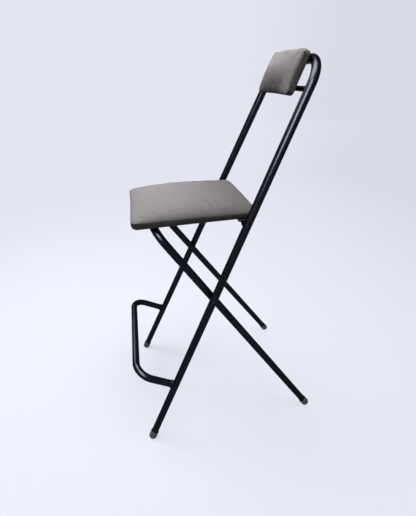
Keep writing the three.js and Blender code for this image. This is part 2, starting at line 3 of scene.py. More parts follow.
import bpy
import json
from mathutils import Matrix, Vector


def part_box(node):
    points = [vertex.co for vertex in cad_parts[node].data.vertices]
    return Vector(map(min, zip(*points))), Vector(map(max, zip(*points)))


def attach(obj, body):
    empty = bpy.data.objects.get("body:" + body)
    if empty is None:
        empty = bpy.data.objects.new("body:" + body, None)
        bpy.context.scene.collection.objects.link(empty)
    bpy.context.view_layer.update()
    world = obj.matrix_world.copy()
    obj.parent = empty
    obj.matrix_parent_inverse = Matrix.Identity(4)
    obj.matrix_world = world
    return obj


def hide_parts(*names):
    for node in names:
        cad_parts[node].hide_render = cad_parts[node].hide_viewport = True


bl_info = {
    "name": "Folding Bar Stool",
    "version": (1, 0, 0),
    "blender": (4, 5, 0),
    "location": "3D View > Sidebar > Stool",
    "description": "Builds the finished look of a folding bar stool around its packed frame",
    "category": "Object",
}

import json
import math

import bmesh
import bpy
import numpy as np
from mathutils import Matrix, Vector, kdtree

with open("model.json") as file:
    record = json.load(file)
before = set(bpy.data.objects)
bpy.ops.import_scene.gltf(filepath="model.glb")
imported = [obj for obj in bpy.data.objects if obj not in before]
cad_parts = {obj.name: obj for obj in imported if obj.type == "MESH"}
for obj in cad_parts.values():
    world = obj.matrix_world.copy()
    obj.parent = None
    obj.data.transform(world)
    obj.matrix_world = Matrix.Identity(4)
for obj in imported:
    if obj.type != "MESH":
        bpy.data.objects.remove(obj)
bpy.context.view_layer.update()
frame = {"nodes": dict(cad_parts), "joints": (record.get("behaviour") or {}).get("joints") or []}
JOINT_PLACES = {joint["name"]: Vector(joint["pos_m"]) for joint in frame["joints"]}
PIVOT = JOINT_PLACES["rear_frame_fold"]
HINGE = JOINT_PLACES["seat_fold"]
SIDES = (("left", 1), ("right", -1))

# Steelwork: fits, edges, steps round its forms and the welds
FIT = 0.0003
TUBE_WALL = 0.0015
PLATE_EDGE = 0.0004
TUBE_SIDES = 40
BEND_STEPS = 28
BAR_SIDES = 28
ROUND_STEPS = 48
ARM_INSET = 0.6
JOINT_STEPS = 72
BAR_JOINT_STEPS = 56
WELD_BEAD = 0.0021
WELD_RIPPLE = 0.0019
BAR_WELD_BEAD = 0.0015
BAR_WELD_RIPPLE = 0.0016
RIPPLE_SHARE = 0.14
RIPPLE_POINTS = 6
WELD_SIDES = 10

# Angles past which an edge stays sharp
CREASE = math.radians(32)
CAP_CREASE = math.radians(38)
PLATE_CREASE = math.radians(40)
PLATE_BEVEL_FROM = math.radians(50)
SCREW_CREASE = math.radians(30)
PAD_CREASE = math.radians(60)

# Fasteners
RIVET_SHANK_RADIUS = 0.003
RIVET_HEAD_RADIUS = 0.006
RIVET_HEAD_HEIGHT = 0.0026
WASHER_RADIUS = 0.007
PIN_RADIUS = 0.004
PIN_HEAD_RADIUS = 0.006
PIN_HEAD_HEIGHT = 0.0024
PIN_WELD_DEPTH = 0.0012
PIN_CHAMFER = 0.0004
HEAD_RIM = 0.0004
WASHER_EASE = 0.0002
HINGE_WASHER_THICKNESS = 0.001
SCREW_RADIUS = 0.00225
SCREW_HEAD_RADIUS = 0.0045
SCREW_HEAD_HEIGHT = 0.0028
SCREW_BITE = 0.009
SCREW_STEPS = 40
SCREW_TIP = 0.002
SCREW_PITCH = 0.0016
SCREW_ROOT = 0.78
SCREW_CREST = 0.45
SCREW_POINT = 0.4
SCREW_RUNOUT = 0.8
SCREW_NECK = 0.85
RECESS_ARM = 0.0011
RECESS_REACH = 0.0026
RECESS_DEPTH = 0.0017
RECESS_LOW_SHARE = 0.55
RECESS_HIGH_SHARE = 1.25
TOP_SCREW_SPACING = 0.040
LOW_SCREW_SPACING = 0.060
TOP_SCREW_TURN = 0.5
LOW_SCREW_TURN = 1.2

# Hinge brackets and seat catches
BRACKET_PLATE = 0.003
EAR_RADIUS = 0.013
FLANGE_WIDTH = 0.024
FLANGE_FRONT = 0.022
FLANGE_REAR = 0.017
BRACKET_SCREW_INSET = 0.013
BRACKET_SCREW_PLACES = (-0.014, 0.009)
BRACKET_SCREW_TURNS = (0.3, 1.1)
BRACKET_FOLD_RADIUS = 0.0015
BRACKET_NECK = 0.0012
PLATE_CORNER = 0.004
CATCH_PLATE = 0.0025
CATCH_WIDTH = 0.025
CATCH_FLANGE = 0.042
CATCH_WRAP = math.radians(100)
CATCH_SPACING = 0.045
CATCH_SCREW_PLACES = (0.014, 0.032)
CATCH_SCREW_TURNS = (0.8, 0.1)
CATCH_CHAMFER = 0.002

# Rubber foot caps
CAP_RADIUS = 0.013
CAP_LENGTH = 0.029
CAP_END = 0.006
CAP_ROUNDING = 0.008
CAP_FLAT_DEPTH = 0.0015
CAP_STEPS = 64

# Cushions: their meshes, and the hem under their boards
SMALLEST_CORNER = 0.0005
CROWDING = 0.6
BAND_STEPS = 3
HEM_STEPS = 5
HEM_THICKNESS = 0.0009
HEM_PRESSED = 0.00022
HEM_LIP = -0.00008
HEM_CLEARANCE = 0.001
HEM_SLOPE = 0.25
HEM_PARTS = (0.35, 0.7, 0.97)
POCKET_EASE = 0.001
TOP_BAR_CONTACT = 0.005
LOW_BAR_CONTACT = 0.004
SEAT_SPACING = 0.0022
BACK_SPACING = 0.0016

# Rings of the groove between face and band: share of its depth, and drop below the face
SEAM_RINGS = ((0.9, 0.0004), (1.0, 0.0009), (0.5, 0.0016), (0.0, 0.0026))

# The cloth that swells the cushions, and how its movement is carried over
BLOCK_SPACING = 0.006
CLOTH_START = 0.003
CLOTH_VOXEL = 0.0045
CLOTH_RELEASE = 0.010
CLOTH_LIMIT = 0.006
CLOTH_FRAMES = 20
CLOTH_SETTINGS = {
    "quality": 6,
    "mass": 0.25,
    "tension_stiffness": 18,
    "compression_stiffness": 8,
    "shear_stiffness": 6,
    "bending_stiffness": 0.5,
    "shrink_min": -0.015,
    "use_pressure": True,
    "uniform_pressure_force": 4,
    "vertex_group_mass": "held",
}
CLOTH_SHARE = 0.35
CROWN_TOP = 0.8
NEIGHBOURS = 8
NEIGHBOUR_REACH = 0.002
SEAM_FADE = 0.006

# Painted shade and light on the cushions: a value per point that picks between a shaded and a lit copy of
# the cloth's colour
SHADE_ATTRIBUTE = "nap"
# Painted light on the lit ridge of a fold at the back pad's lower +U corner: how wide it fades in, and how
# light it is
CORNER_FADE = 0.35
PAINTED_CORNER_LIGHT = 0.75
# Painted shade beside the seat's seam, where its shoulder turns from the light: how fast it fades upwards
SHADED_RIM_FADE = 0.010

# Enamel: how far it shines like lacquered steel, and how much its edges do
GLOSS_DEPTH = 0.88
EDGE_GLOSS = 0.25

# Folds that gather at a pad's corners: how many to a whole turn, and the angle of one, by corner
GATHER_DEPTH = 0.00035
GATHER_REACH = 0.014
GATHERS = {(1, -1): (9.0, 1.48), (1, 1): (8.0, 1.40), (-1, -1): (8.5, 1.45), (-1, 1): (9.5, 1.38)}

# Stage
FLOOR_HALF = 7.0
FLOOR_DROP = 0.0002
FLOOR_GLOW = 0.50
FLOOR_UNSEEN = (0.16, 0.16, 0.17, 1)
# A painted pool of light on the floor, round this centre and fading out over this radius
PAINTED_POOL_CENTRE = (-0.43, -1.0, 0.0)
PAINTED_POOL_RADIUS = 2.66
# Painted shade: the floor and the backdrop dim towards +Y between these bounds
DIM_FROM = 0.66
DIM_TO = 2.6
SKY_DIM_FROM = 0.25
SKY_DIM_TO = 0.58
FAN_DIM_FROM = 0.30
FAN_DIM_TO = 0.72
LAMP_AIM = (0.0, -0.1, 0.85)
SENSOR = 36

# Lamps: name, place, size and the power that they take. The panels only show in the gloss
SOFTBOXES = (
    ("softbox_front", (-0.85, -0.95, 2.93), (1.2, 1.2), "front_power"),
    ("softbox_rear", (0.25, 0.33, 3.20), (1.2, 1.2), "rear_power"),
)
PANELS = (
    ("panel_ceiling", (0.0, -0.55, 2.67), (2.2, 1.7), "ceiling_shine"),
    ("panel_left", (1.40, -0.81, 1.93), (1.2, 0.9), "left_shine"),
    ("panel_far", (-2.20, -1.30, 2.30), (1.2, 0.8), "far_shine"),
)


def share(name, description, default):
    return bpy.props.FloatProperty(
        name=name, description=description, default=default, min=0.0, max=1.0, subtype="FACTOR"
    )


def length(name, description, default):
    return bpy.props.FloatProperty(
        name=name, description=description, default=default, min=0.0, unit="LENGTH", precision=4
    )


def angle(name, description, degrees):
    return bpy.props.FloatProperty(
        name=name, description=description, default=math.radians(degrees), subtype="ANGLE"
    )


def power(name, description, watts):
    return bpy.props.FloatProperty(
        name=name, description=description, default=watts, min=0.0, unit="POWER"
    )


def colour(name, description, default):
    return bpy.props.FloatVectorProperty(
        name=name, description=description, default=default, size=3, min=0.0, max=1.5, subtype="COLOR"
    )


class StoolFrameSizes(bpy.types.PropertyGroup):
    """Sizes of the bent tube frames."""

    tube_diameter: length("Tube", "Outer diameter of the frame tube", 0.022)
    main_half_width: length("Main half width", "Centre line of a main leg at the pivot", 0.1769)
    rear_half_width: length("Rear half width", "Centre line of a rear leg at the pivot", 0.1519)
    main_taper: angle("Main taper", "How far each main leg leans inwards", 3.95)
    rear_taper: angle("Rear taper", "How far each rear leg leans inwards", 5.3)
    rear_lean: angle("Rear lean", "Lean of the rear frame from the vertical", 34.2)
    back_reach: length("Back reach", "From the pivot to the top bar along the main frame", 0.646)
    main_bend: length("Main bend", "Bend radius at the top of the main frame", 0.060)
    rear_bend: length("Rear bend", "Bend radius at the top of the rear frame", 0.060)
    footrest_height: length("Footrest height", "Height at which the footrest meets the legs", 0.212)
    footrest_depth: length("Footrest depth", "Length of a footrest arm", 0.131)
    footrest_rise: angle("Footrest rise", "Lean of the footrest arms from the horizontal", 30)
    footrest_half_width: length("Footrest half width", "Half length of the footrest bar", 0.193)
    footrest_bend: length("Footrest bend", "Bend radius of the footrest", 0.052)
    back_bar_diameter: length("Back bar", "Diameter of the bar behind the back pad", 0.012)
    back_bar_reach: length("Back bar reach", "From the pivot to the bar behind the back pad", 0.577)


class StoolPadSizes(bpy.types.PropertyGroup):
    """Sizes of the seat and the back pad."""

    board_thickness: length("Board", "Thickness of the plywood boards", 0.012)
    board_cover: length("Board cover", "Foam and cloth around the edge of a board", 0.004)
    hem_width: length("Hem", "Width of cloth turned under a board", 0.021)
    hem_rounding: length("Hem rounding", "Radius where the cloth turns under", 0.0065)
    seam_depth: length("Seam depth", "Depth of the groove between face and band", 0.0007)
    seat_side: length("Seat band", "Height of the seat's side band", 0.015)
    seat_crown: length("Seat crown", "Rise of the seat above its side band", 0.032)
    seat_corner: length("Seat corner", "Corner radius of the seat", 0.0185)
    seat_draw_in: length("Seat draw-in", "How far the seat's sides pull in", 0.0015)
    seat_edge_across: share("Seat side fullness", "Share of the crown reached at the side edges", 0.60)
    seat_fade_across: length("Seat side fade", "How fast the crown rises from the side edges", 0.012)
    seat_edge_along: share("Seat end fullness", "Share of the crown reached at front and rear", 0.48)
    seat_fade_along: length("Seat end fade", "How fast the crown rises at front and rear", 0.006)
    seat_lean: share("Seat lean", "How much fuller the seat is at its rear than in its middle", 0.16)
    seat_hang: length("Hem hang", "How far the cloth under the seat's front hangs below its board", 0.0035)
    pad_top: length("Pad top", "From the pivot to the back pad's top edge", 0.6565)
    pad_height: length("Pad height", "Height of the back pad", 0.102)
    pad_low_half: length("Pad lower half width", "Half width of the back pad at the bottom", 0.098)
    pad_high_half: length("Pad upper half width", "Half width of the back pad at the top", 0.092)
    pad_side: length("Pad band", "Depth of the back pad's side band", 0.0185)
    pad_crown: length("Pad crown", "Rise of the back pad's face above its band", 0.022)
    pad_corner: length("Pad corner", "Corner radius of the back pad", 0.010)
    pad_draw_in: length("Pad draw-in", "How far the back pad's sides pull in", 0.0015)
    pad_edge_across: share("Pad side fullness", "Share of the crown reached at the side edges", 0.18)
    pad_fade_across: length("Pad side fade", "How fast the crown rises from the side edges", 0.003)
    pad_edge_along: share("Pad end fullness", "Share of the crown reached at top and bottom", 0.38)
    pad_fade_along: length("Pad end fade", "How fast the crown rises at top and bottom", 0.004)
    pad_lean: share("Pad lean", "How much fuller the back pad is at its top than in its middle", 0.20)


class StoolFinishes(bpy.types.PropertyGroup):
    """Colours of the stool's materials."""

    paint: colour("Frame paint", "Black enamel on the tubes", (0.0116, 0.0122, 0.0152))
    bracket: colour("Bracket paint", "Black enamel on the brackets", (0.0098, 0.0102, 0.0118))
    zinc: colour("Zinc", "Plating of the screws and pins", (0.60, 0.61, 0.60))
    rubber: colour("Rubber", "Foot caps", (0.014, 0.014, 0.015))
    nylon: colour("Nylon", "Washers at the pivots", (0.020, 0.020, 0.021))
    wood: colour("Plywood", "Birch face of the boards", (0.52, 0.355, 0.205))
    suede: colour("Suede cloth", "Taupe grey cover of the pads", (0.300, 0.283, 0.281))


class StoolStage(bpy.types.PropertyGroup):
    """Camera, lamps and floor."""

    camera_place: bpy.props.FloatVectorProperty(
        name="Camera", description="Place of the camera", default=(0.90919, -0.2055, 1.06314),
        subtype="TRANSLATION", unit="LENGTH",
    )
    camera_turn: angle("Camera turn", "Direction of view, anticlockwise from +X", 168.342)
    camera_pitch: angle("Camera pitch", "Direction of view below the horizontal", 29.437)
    camera_roll: angle("Camera roll", "Roll about the direction of view", -0.993)
    lens: bpy.props.FloatProperty(
        name="Lens", description="Focal length for a 36 mm sensor", default=22.94, unit="CAMERA"
    )
    front_power: power("Front softbox", "Large soft lamp overhead, in front of the stool", 43.2)
    rear_power: power("Rear softbox", "Large soft lamp overhead, behind the seat", 31.4)
    ceiling_shine: power("Ceiling panel", "Panel overhead that only shows in the gloss", 300.0)
    left_shine: power("Left panel", "Panel on the camera's left that only shows in the gloss", 120.0)
    far_shine: power("Far panel", "Panel beyond the stool that only shows in the gloss", 60.0)
    fill: bpy.props.FloatProperty(
        name="Fill", description="Light that comes from all round", default=0.010, min=0.0
    )
    # floor is the colour at the middle of the floor's painted pool of light, brighter than white;
    # horizon_dim is painted shade on the backdrop towards +Y
    floor: colour("Floor", "Colour of the floor in front of the stool", (1.062, 1.090, 1.211))
    horizon: colour("Backdrop", "Colour of the backdrop", (0.772, 0.792, 0.880))
    horizon_dim: colour("Dim backdrop", "Colour of the backdrop to the right", (0.684, 0.702, 0.780))


GROUPS = {
    "stool_frame": StoolFrameSizes,
    "stool_pads": StoolPadSizes,
    "stool_finishes": StoolFinishes,
    "stool_stage": StoolStage,
}


# Node trees

class Value:
    """A node's output. Arithmetic on it adds Math nodes to its tree."""

    def __init__(self, graph, socket):
        self.graph = graph
        self.socket = socket

    def math(self, operation, *operands):
        return self.graph.node("ShaderNodeMath", {"operation": operation}, dict(enumerate(operands)))

    def __add__(self, other):
        return self.math("ADD", self, other)

    def __sub__(self, other):
        return self.math("SUBTRACT", self, other)

    def __rsub__(self, other):
        return self.math("SUBTRACT", other, self)

    def __mul__(self, other):
        return self.math("MULTIPLY", self, other)

    def __truediv__(self, other):
        return self.math("DIVIDE", self, other)


class Graph:
    """A node tree and the one method that adds nodes to it."""

    def __init__(self, tree):
        self.tree = tree
        tree.nodes.clear()

    def node(self, kind, settings=None, inputs=None, output=0):
        """Adds a node. Settings go in first, then the sockets' values or links by name or index."""
        made = self.tree.nodes.new(kind)
        for name, value in (settings or {}).items():
            if name == "stops":
                self.set_stops(made.color_ramp, value)
            else:
                setattr(made, name, value)
        for key, value in (inputs or {}).items():
            if isinstance(value, Value):
                self.tree.links.new(value.socket, made.inputs[key])
            else:
                made.inputs[key].default_value = value
        return Value(self, made.outputs[output]) if len(made.outputs) else None

    def part(self, vector, axis):
        return self.node("ShaderNodeSeparateXYZ", {}, {0: vector}, output=axis)

    def eased(self, value, start, end):
        """0 at the start, 1 at the end, and a smooth run between."""
        return self.node("ShaderNodeMapRange", {"interpolation_type": "SMOOTHSTEP"},
                         {0: value, 1: start, 2: end})

    def set_stops(self, ramp, stops):
        while len(ramp.elements) < len(stops):
            ramp.elements.new(0.5)
        for element, (place, shade) in zip(ramp.elements, stops):
            element.position = place
            element.color = (shade, shade, shade, 1) if isinstance(shade, float) else (*shade, 1)


class Finish(Graph):
    """A material made of nodes. Patterns lie on Object coordinates, in metres."""

    def __init__(self, name):
        self.material = bpy.data.materials.new(name)
        self.material.use_nodes = True
        super().__init__(self.material.node_tree)
        self.place = self.node("ShaderNodeTexCoord", output="Object")

    def stretched(self, scale):
        """Object coordinates scaled by a vector, for grain that runs one way."""
        return self.node("ShaderNodeMapping", {}, {"Vector": self.place, "Scale": scale})

    def noise(self, size, detail=2.0, distortion=0.0, vector=None):
        """Noise from 0 to 1 whose features are about the given size in metres."""
        return self.node(
            "ShaderNodeTexNoise",
            {},
            {
                "Vector": vector or self.place,
                "Scale": 1 / size,
                "Detail": detail,
                "Distortion": distortion,
            },
        )

    def ramp(self, factor, stops):
        return self.node("ShaderNodeValToRGB", {"stops": stops}, {"Fac": factor})

    def blend(self, factor, first, second):
        """A mix of two colours, each a tuple or a link."""
        paint = [value if isinstance(value, Value) else (*value, 1) for value in (first, second)]
        return self.node(
            "ShaderNodeMix", {"data_type": "RGBA"}, {0: factor, 6: paint[0], 7: paint[1]}, output=2
        )

    def bump(self, height, depth, below=None):
        inputs = {"Height": height, "Distance": depth}
        if below:
            inputs["Normal"] = below
        return self.node("ShaderNodeBump", {}, inputs)

    def surface(self, sockets):
        """Ends the material in one Principled shader."""
        shader = self.node("ShaderNodeBsdfPrincipled", {}, sockets)
        self.node("ShaderNodeOutputMaterial", {}, {"Surface": shader})
        return self.material


def tone(base, factor):
    return tuple(min(1.0, channel * factor) for channel in base)


def enamel(name, base, dull=0.0):
    """Stoved black enamel: a faint orange peel, thin dust, and a few raised specks in the coat, whose
    lighter colour is a painted glint.
    """
    finish = Finish(name)
    cloudy = finish.noise(0.055, 3.0)
    peel = finish.noise(0.0030, 1.0)
    # raised specks in the coat: a real bump, painted lighter as a glint
    nibs_and_glints = finish.ramp(finish.noise(0.005, 1.0), [(0.775, 0.0), (0.80, 1.0)])
    dust = finish.ramp(finish.noise(0.018, 4.0, 0.6), [(0.55, 0.0), (0.85, 1.0)])
    even = finish.blend(cloudy, tone(base, 0.75), tone(base, 1.25))
    dusty = finish.blend(dust * 0.30, even, tone(base, 1.6))
    relief = finish.bump(peel, 0.000005)
    return finish.surface({
        "Base Color": finish.blend(nibs_and_glints * 0.4, dusty, tone(base, 3.0)),
        "Metallic": GLOSS_DEPTH,
        "Roughness": cloudy * 0.05 + dust * 0.08 + (0.20 + dull),
        "IOR": 1.47,
        "Specular IOR Level": 0.17,
        "Specular Tint": (EDGE_GLOSS, EDGE_GLOSS, EDGE_GLOSS, 1.0),
        "Normal": finish.bump(nibs_and_glints, 0.00002, relief),
    })


def zinc_plate(name, base):
    """Zinc plating: satin, cloudy, with fine turning marks and a warm tinge."""
    finish = Finish(name)
    cloudy = finish.noise(0.006, 4.0)
    grain = finish.noise(0.0004, 2.0)
    tinge = finish.blend(cloudy, tone(base, 0.85), (base[0], base[1] * 0.97, base[2] * 0.86))
    return finish.surface({
        "Base Color": tinge,
        "Metallic": 1.0,
        "Roughness": cloudy * 0.22 + 0.24,
        "Normal": finish.bump(grain, 0.00002),
    })


def moulded_rubber(name, base):
    """Moulded rubber: matt and grainy, greyer where floor dust has caught it."""
    finish = Finish(name)
    grain = finish.noise(0.0009, 3.0)
    height = finish.part(finish.place, "Z")
    near_floor = 1 - finish.node("ShaderNodeMapRange", {}, {0: height, 1: 0.0, 2: 0.012})
    dust = near_floor * finish.noise(0.005, 4.0, 0.5)
    return finish.surface({
        "Base Color": finish.blend(dust * 0.3, tone(base, 1.0), (0.060, 0.058, 0.056)),
        "Roughness": grain * 0.12 + dust * 0.15 + 0.50,
        "IOR": 1.5,
        "Normal": finish.bump(grain, 0.00008),
    })


def nylon(name, base):
    finish = Finish(name)
    grain = finish.noise(0.0012, 2.0)
    return finish.surface({
        "Base Color": finish.blend(grain, tone(base, 0.8), tone(base, 1.4)),
        "Roughness": grain * 0.15 + 0.38,
        "Normal": finish.bump(grain, 0.00003),
    })


def birch_face(name, base):
    """Rotary-cut birch veneer: broad wandering figure, fine pores, a few darker streaks."""
    finish = Finish(name)
    along = finish.stretched((1.0, 0.12, 1.0))
    figure = finish.noise(0.020, 3.0, 1.6, along)
    waves = finish.node("ShaderNodeMath", {"operation": "SINE"}, {0: figure * 34.0})
    pores = finish.noise(0.0009, 2.0, 0.0, finish.stretched((1.0, 0.05, 1.0)))
    streaks = finish.ramp(finish.noise(0.012, 2.0, 0.3, along), [(0.60, 0.0), (0.78, 1.0)])
    pale = finish.blend(waves * 0.5 + 0.5, tone(base, 1.12), tone(base, 0.88))
    darkened = finish.blend(streaks * 0.5, pale, (base[0] * 0.62, base[1] * 0.52, base[2] * 0.42))
    dotted = finish.blend(finish.ramp(pores, [(0.30, 1.0), (0.42, 0.0)]) * 0.5, darkened, tone(base, 0.45))
    return finish.surface({
        "Base Color": dotted,
        "Roughness": figure * 0.12 + 0.55,
        "Normal": finish.bump(pores, 0.00015),
    })


def suede_cloth(name, base):
    """Brushed imitation suede: painted shade and light from a value per point, stroke marks and a fine
    fibre.
    """
    finish = Finish(name)
    # the painted shade value: 0 picks the shaded tone, 1 the lit tone
    painted_shade = finish.node("ShaderNodeAttribute", {"attribute_name": SHADE_ATTRIBUTE}, output="Fac")
    cloud = finish.noise(0.060, 3.0, 0.8)
    stroke = finish.noise(0.020, 3.0, 2.2, finish.stretched((1.0, 0.55, 1.0)))
    fleck = finish.noise(0.0035, 3.0)
    fibre = finish.noise(0.0007, 2.0)
    # stroke marks alone, a tone that varies at random
    nap = finish.ramp(stroke, [(0.38, 0.0), (0.64, 1.0)])
    # a shaded and a lit copy of the cloth's colour, which the painted shade value picks between
    dark = (base[0] * 0.42, base[1] * 0.403, base[2] * 0.385)
    light = (base[0] * 0.985, base[1] * 0.967, base[2] * 0.995)
    even = finish.blend(painted_shade, dark, light)
    lighter = finish.blend(painted_shade, tone(dark, 1.16), tone(light, 1.14))
    brushed = finish.blend(nap * 0.55 + cloud * 0.35, even, lighter)
    flecked = finish.blend(finish.ramp(fleck, [(0.24, 1.0), (0.36, 0.0)]) * 0.35, brushed,
                           tone(base, 0.72))
    shaded = finish.blend(fibre * 0.22, flecked, tone(base, 0.70))
    weave = finish.bump(fibre, 0.00022)
    return finish.surface({
        "Base Color": shaded,
        "Roughness": nap * -0.06 + fibre * 0.08 + 0.86,
        "Specular IOR Level": 0.08,
        "Sheen Weight": 0.05,
        "Sheen Roughness": 0.45,
        "Sheen Tint": (0.92, 0.92, 0.95, 1.0),
        "Normal": finish.bump(stroke, 0.00045, weave),
    })


MATERIALS = {}


def make_materials(colours):
    MATERIALS.update({
        "frame_paint": enamel("stool_frame_enamel", colours.paint),
        "bracket_paint": enamel("stool_bracket_enamel", colours.bracket, 0.12),
        "zinc_steel": zinc_plate("stool_zinc", colours.zinc),
        "foot_rubber": moulded_rubber("stool_rubber", colours.rubber),
        "washer_plastic": nylon("stool_nylon", colours.nylon),
        "plywood": birch_face("stool_birch", colours.wood),
        "upholstery": suede_cloth("stool_suede", colours.suede),
    })


# Meshes

def linked(name, data):
    """An object with this data, in the scene."""
    thing = bpy.data.objects.new(name, data)
    bpy.context.scene.collection.objects.link(thing)
    return thing


def new_object(name, vertices, faces):
    mesh = bpy.data.meshes.new(name)
    mesh.from_pydata([tuple(vertex) for vertex in vertices], [], faces)
    mesh.validate()
    return linked(name, mesh)


def mesh_object(name, shape):
    """An object from a bmesh, which is freed."""
    mesh = bpy.data.meshes.new(name)
    shape.to_mesh(mesh)
    shape.free()
    return linked(name, mesh)


def shade(thing, crease=CREASE):
    """Smooth shading with the edges sharper than the crease left sharp."""
    shape = bmesh.new()
    shape.from_mesh(thing.data)
    for face in shape.faces:
        face.smooth = True
    for edge in shape.edges:
        if len(edge.link_faces) == 2:
            edge.smooth = edge.calc_face_angle(0.0) < crease
    shape.to_mesh(thing.data)
    shape.free()


def baked(thing, name=None):
    """Turns an object with modifiers into a plain mesh object at the origin."""
    bpy.context.view_layer.update()
    evaluated = thing.evaluated_get(bpy.context.evaluated_depsgraph_get())
    mesh = bpy.data.meshes.new_from_object(evaluated)
    plain = linked(name or thing.name, mesh)
    old = thing.name
    bpy.data.objects.remove(thing)
    plain.name = name or old
    mesh.name = plain.name
    return plain


def finish_piece(piece, material, body, nodes):
    """Gives a piece its material, the body it moves with and the nodes it stands for."""
    piece.data.materials.clear()
    piece.data.materials.append(MATERIALS[material])
    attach(piece, body)
    if nodes:
        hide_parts(*nodes)
    return piece


def lathe_rings(profile, steps, place):
    """Rings of a turned form, with (radius, height) points, and its quads. Ends lie on the axis."""
    vertices = []
    faces = []
    starts = []
    for radius, height in profile:
        starts.append(len(vertices))
        if radius == 0:
            vertices.append(place @ Vector((0, 0, height)))
            continue
        for step in range(steps):
            turn = 2 * math.pi * step / steps
            vertices.append(place @ Vector((radius * math.cos(turn), radius * math.sin(turn), height)))
    for i in range(len(profile) - 1):
        low, high = starts[i], starts[i + 1]
        for step in range(steps):
            after = (step + 1) % steps
            if profile[i][0] == 0:
                faces.append((low, high + after, high + step))
            elif profile[i + 1][0] == 0:
                faces.append((low + step, low + after, high))
            else:
                faces.append((low + step, low + after, high + after, high + step))
    return vertices, faces


def lathe(name, profile, steps, place=Matrix.Identity(4)):
    """A closed turned form about Z."""
    vertices, faces = lathe_rings(profile, steps, place)
    return new_object(name, vertices, faces)


def ring_lathe(name, profile, steps, place=Matrix.Identity(4)):
    """A turned form whose profile closes on itself, such as a washer."""
    vertices, faces = lathe_rings([*profile, profile[0]], steps, place)
    count = len(profile) * steps
    wrapped = [tuple(corner % count for corner in face) for face in faces]
    return new_object(name, vertices[:count], wrapped)


def joined(pieces, name):
    """One object out of several plain mesh objects."""
    shape = bmesh.new()
    for piece in pieces:
        shape.from_mesh(piece.data)
        bpy.data.objects.remove(piece)
    return mesh_object(name, shape)


def arc(centre, radius, start, end, steps):
    """Points of an arc in a profile plane."""
    return [
        (
            centre[0] + radius * math.cos(start + (end - start) * step / steps),
            centre[1] + radius * math.sin(start + (end - start) * step / steps),
        )
        for step in range(steps + 1)
    ]


def axis_turn(direction):
    """A matrix that turns Z to a direction."""
    return Vector(direction).normalized().to_track_quat("Z", "Y").to_matrix().to_4x4()


# Paths and trees of geometry nodes

class Tree(Graph):
    """A geometry node group with named inputs, made once and used by several modifiers."""

    def __init__(self, name, inputs):
        group = bpy.data.node_groups.new(name, "GeometryNodeTree")
        super().__init__(group)
        group.interface.new_socket("Geometry", in_out="INPUT", socket_type="NodeSocketGeometry")
        self.identifiers = {
            label: group.interface.new_socket(label, in_out="INPUT", socket_type=kind).identifier
            for label, kind in inputs.items()
        }
        group.interface.new_socket("Geometry", in_out="OUTPUT", socket_type="NodeSocketGeometry")
        self.source = group.nodes.new("NodeGroupInput")

    def given(self, label):
        return Value(self, self.source.outputs[label])

    def end(self, geometry, smooth=True):
        if smooth:
            geometry = self.node("GeometryNodeSetShadeSmooth", {}, {"Geometry": geometry})
        coloured = self.node(
            "GeometryNodeSetMaterial", {}, {"Geometry": geometry, "Material": self.given("Material")}
        )
        self.node("NodeGroupOutput", {}, {"Geometry": coloured})

    def use(self, thing, name, values):
        """Runs the tree on an object and returns the plain mesh that it makes."""
        modifier = thing.modifiers.new("Stool", "NODES")
        modifier.node_group = self.tree
        for label, value in values.items():
            modifier[self.identifiers[label]] = value
        return baked(thing, name)


TREES = {}


def tube_tree():
    """A closed tube along a curve."""
    tree = Tree("stool_tube", {
        "Radius": "NodeSocketFloat",
        "Sides": "NodeSocketInt",
        "Material": "NodeSocketMaterial",
    })
    section = tree.node(
        "GeometryNodeCurvePrimitiveCircle", {},
        {"Resolution": tree.given("Sides"), "Radius": tree.given("Radius")},
    )
    tree.end(tree.node(
        "GeometryNodeCurveToMesh", {},
        {"Curve": tree.given("Geometry"), "Profile Curve": section, "Fill Caps": True},
    ))
    return tree


def weld_tree():
    """A weld bead along a closed curve: a round bead with the even ripples of the torch."""
    tree = Tree("stool_weld", {
        "Bead": "NodeSocketFloat",
        "Ripple": "NodeSocketFloat",
        "Ripple Share": "NodeSocketFloat",
        "Sides": "NodeSocketInt",
        "Material": "NodeSocketMaterial",
    })
    ripple = tree.given("Ripple")
    even = tree.node(
        "GeometryNodeResampleCurve", {"mode": "LENGTH"},
        {"Curve": tree.given("Geometry"), "Length": ripple * (1 / RIPPLE_POINTS)},
    )
    travel = tree.node("GeometryNodeSplineParameter", output="Length")
    wave = tree.node("ShaderNodeMath", {"operation": "SINE"}, {0: travel / ripple * (2 * math.pi)})
    wander = tree.node("ShaderNodeTexNoise", {}, {"Scale": 160.0, "Detail": 1.0})
    swell = wave * tree.given("Ripple Share") + (wander - 0.5) * 0.5 + 1.0
    shaped = tree.node("GeometryNodeSetCurveRadius", {}, {"Curve": even, "Radius": swell})
    section = tree.node(
        "GeometryNodeCurvePrimitiveCircle", {},
        {"Resolution": tree.given("Sides"), "Radius": tree.given("Bead")},
    )
    tree.end(tree.node(
        "GeometryNodeCurveToMesh", {}, {"Curve": shaped, "Profile Curve": section},
    ))
    return tree


def fastener_tree():
    """A copy of one fastener at each point, turned to the point's own direction."""
    tree = Tree("stool_fasteners", {"Fastener": "NodeSocketObject", "Material": "NodeSocketMaterial"})
    turn = tree.node(
        "GeometryNodeInputNamedAttribute", {"data_type": "QUATERNION"}, {"Name": "turn"},
    )
    unit = tree.node(
        "GeometryNodeObjectInfo", {"transform_space": "ORIGINAL"}, {"Object": tree.given("Fastener")},
        output="Geometry",
    )
    placed = tree.node(
        "GeometryNodeInstanceOnPoints", {},
        {"Points": tree.given("Geometry"), "Instance": unit, "Rotation": turn},
    )
    tree.end(tree.node("GeometryNodeRealizeInstances", {}, {"Geometry": placed}), smooth=False)
    return tree


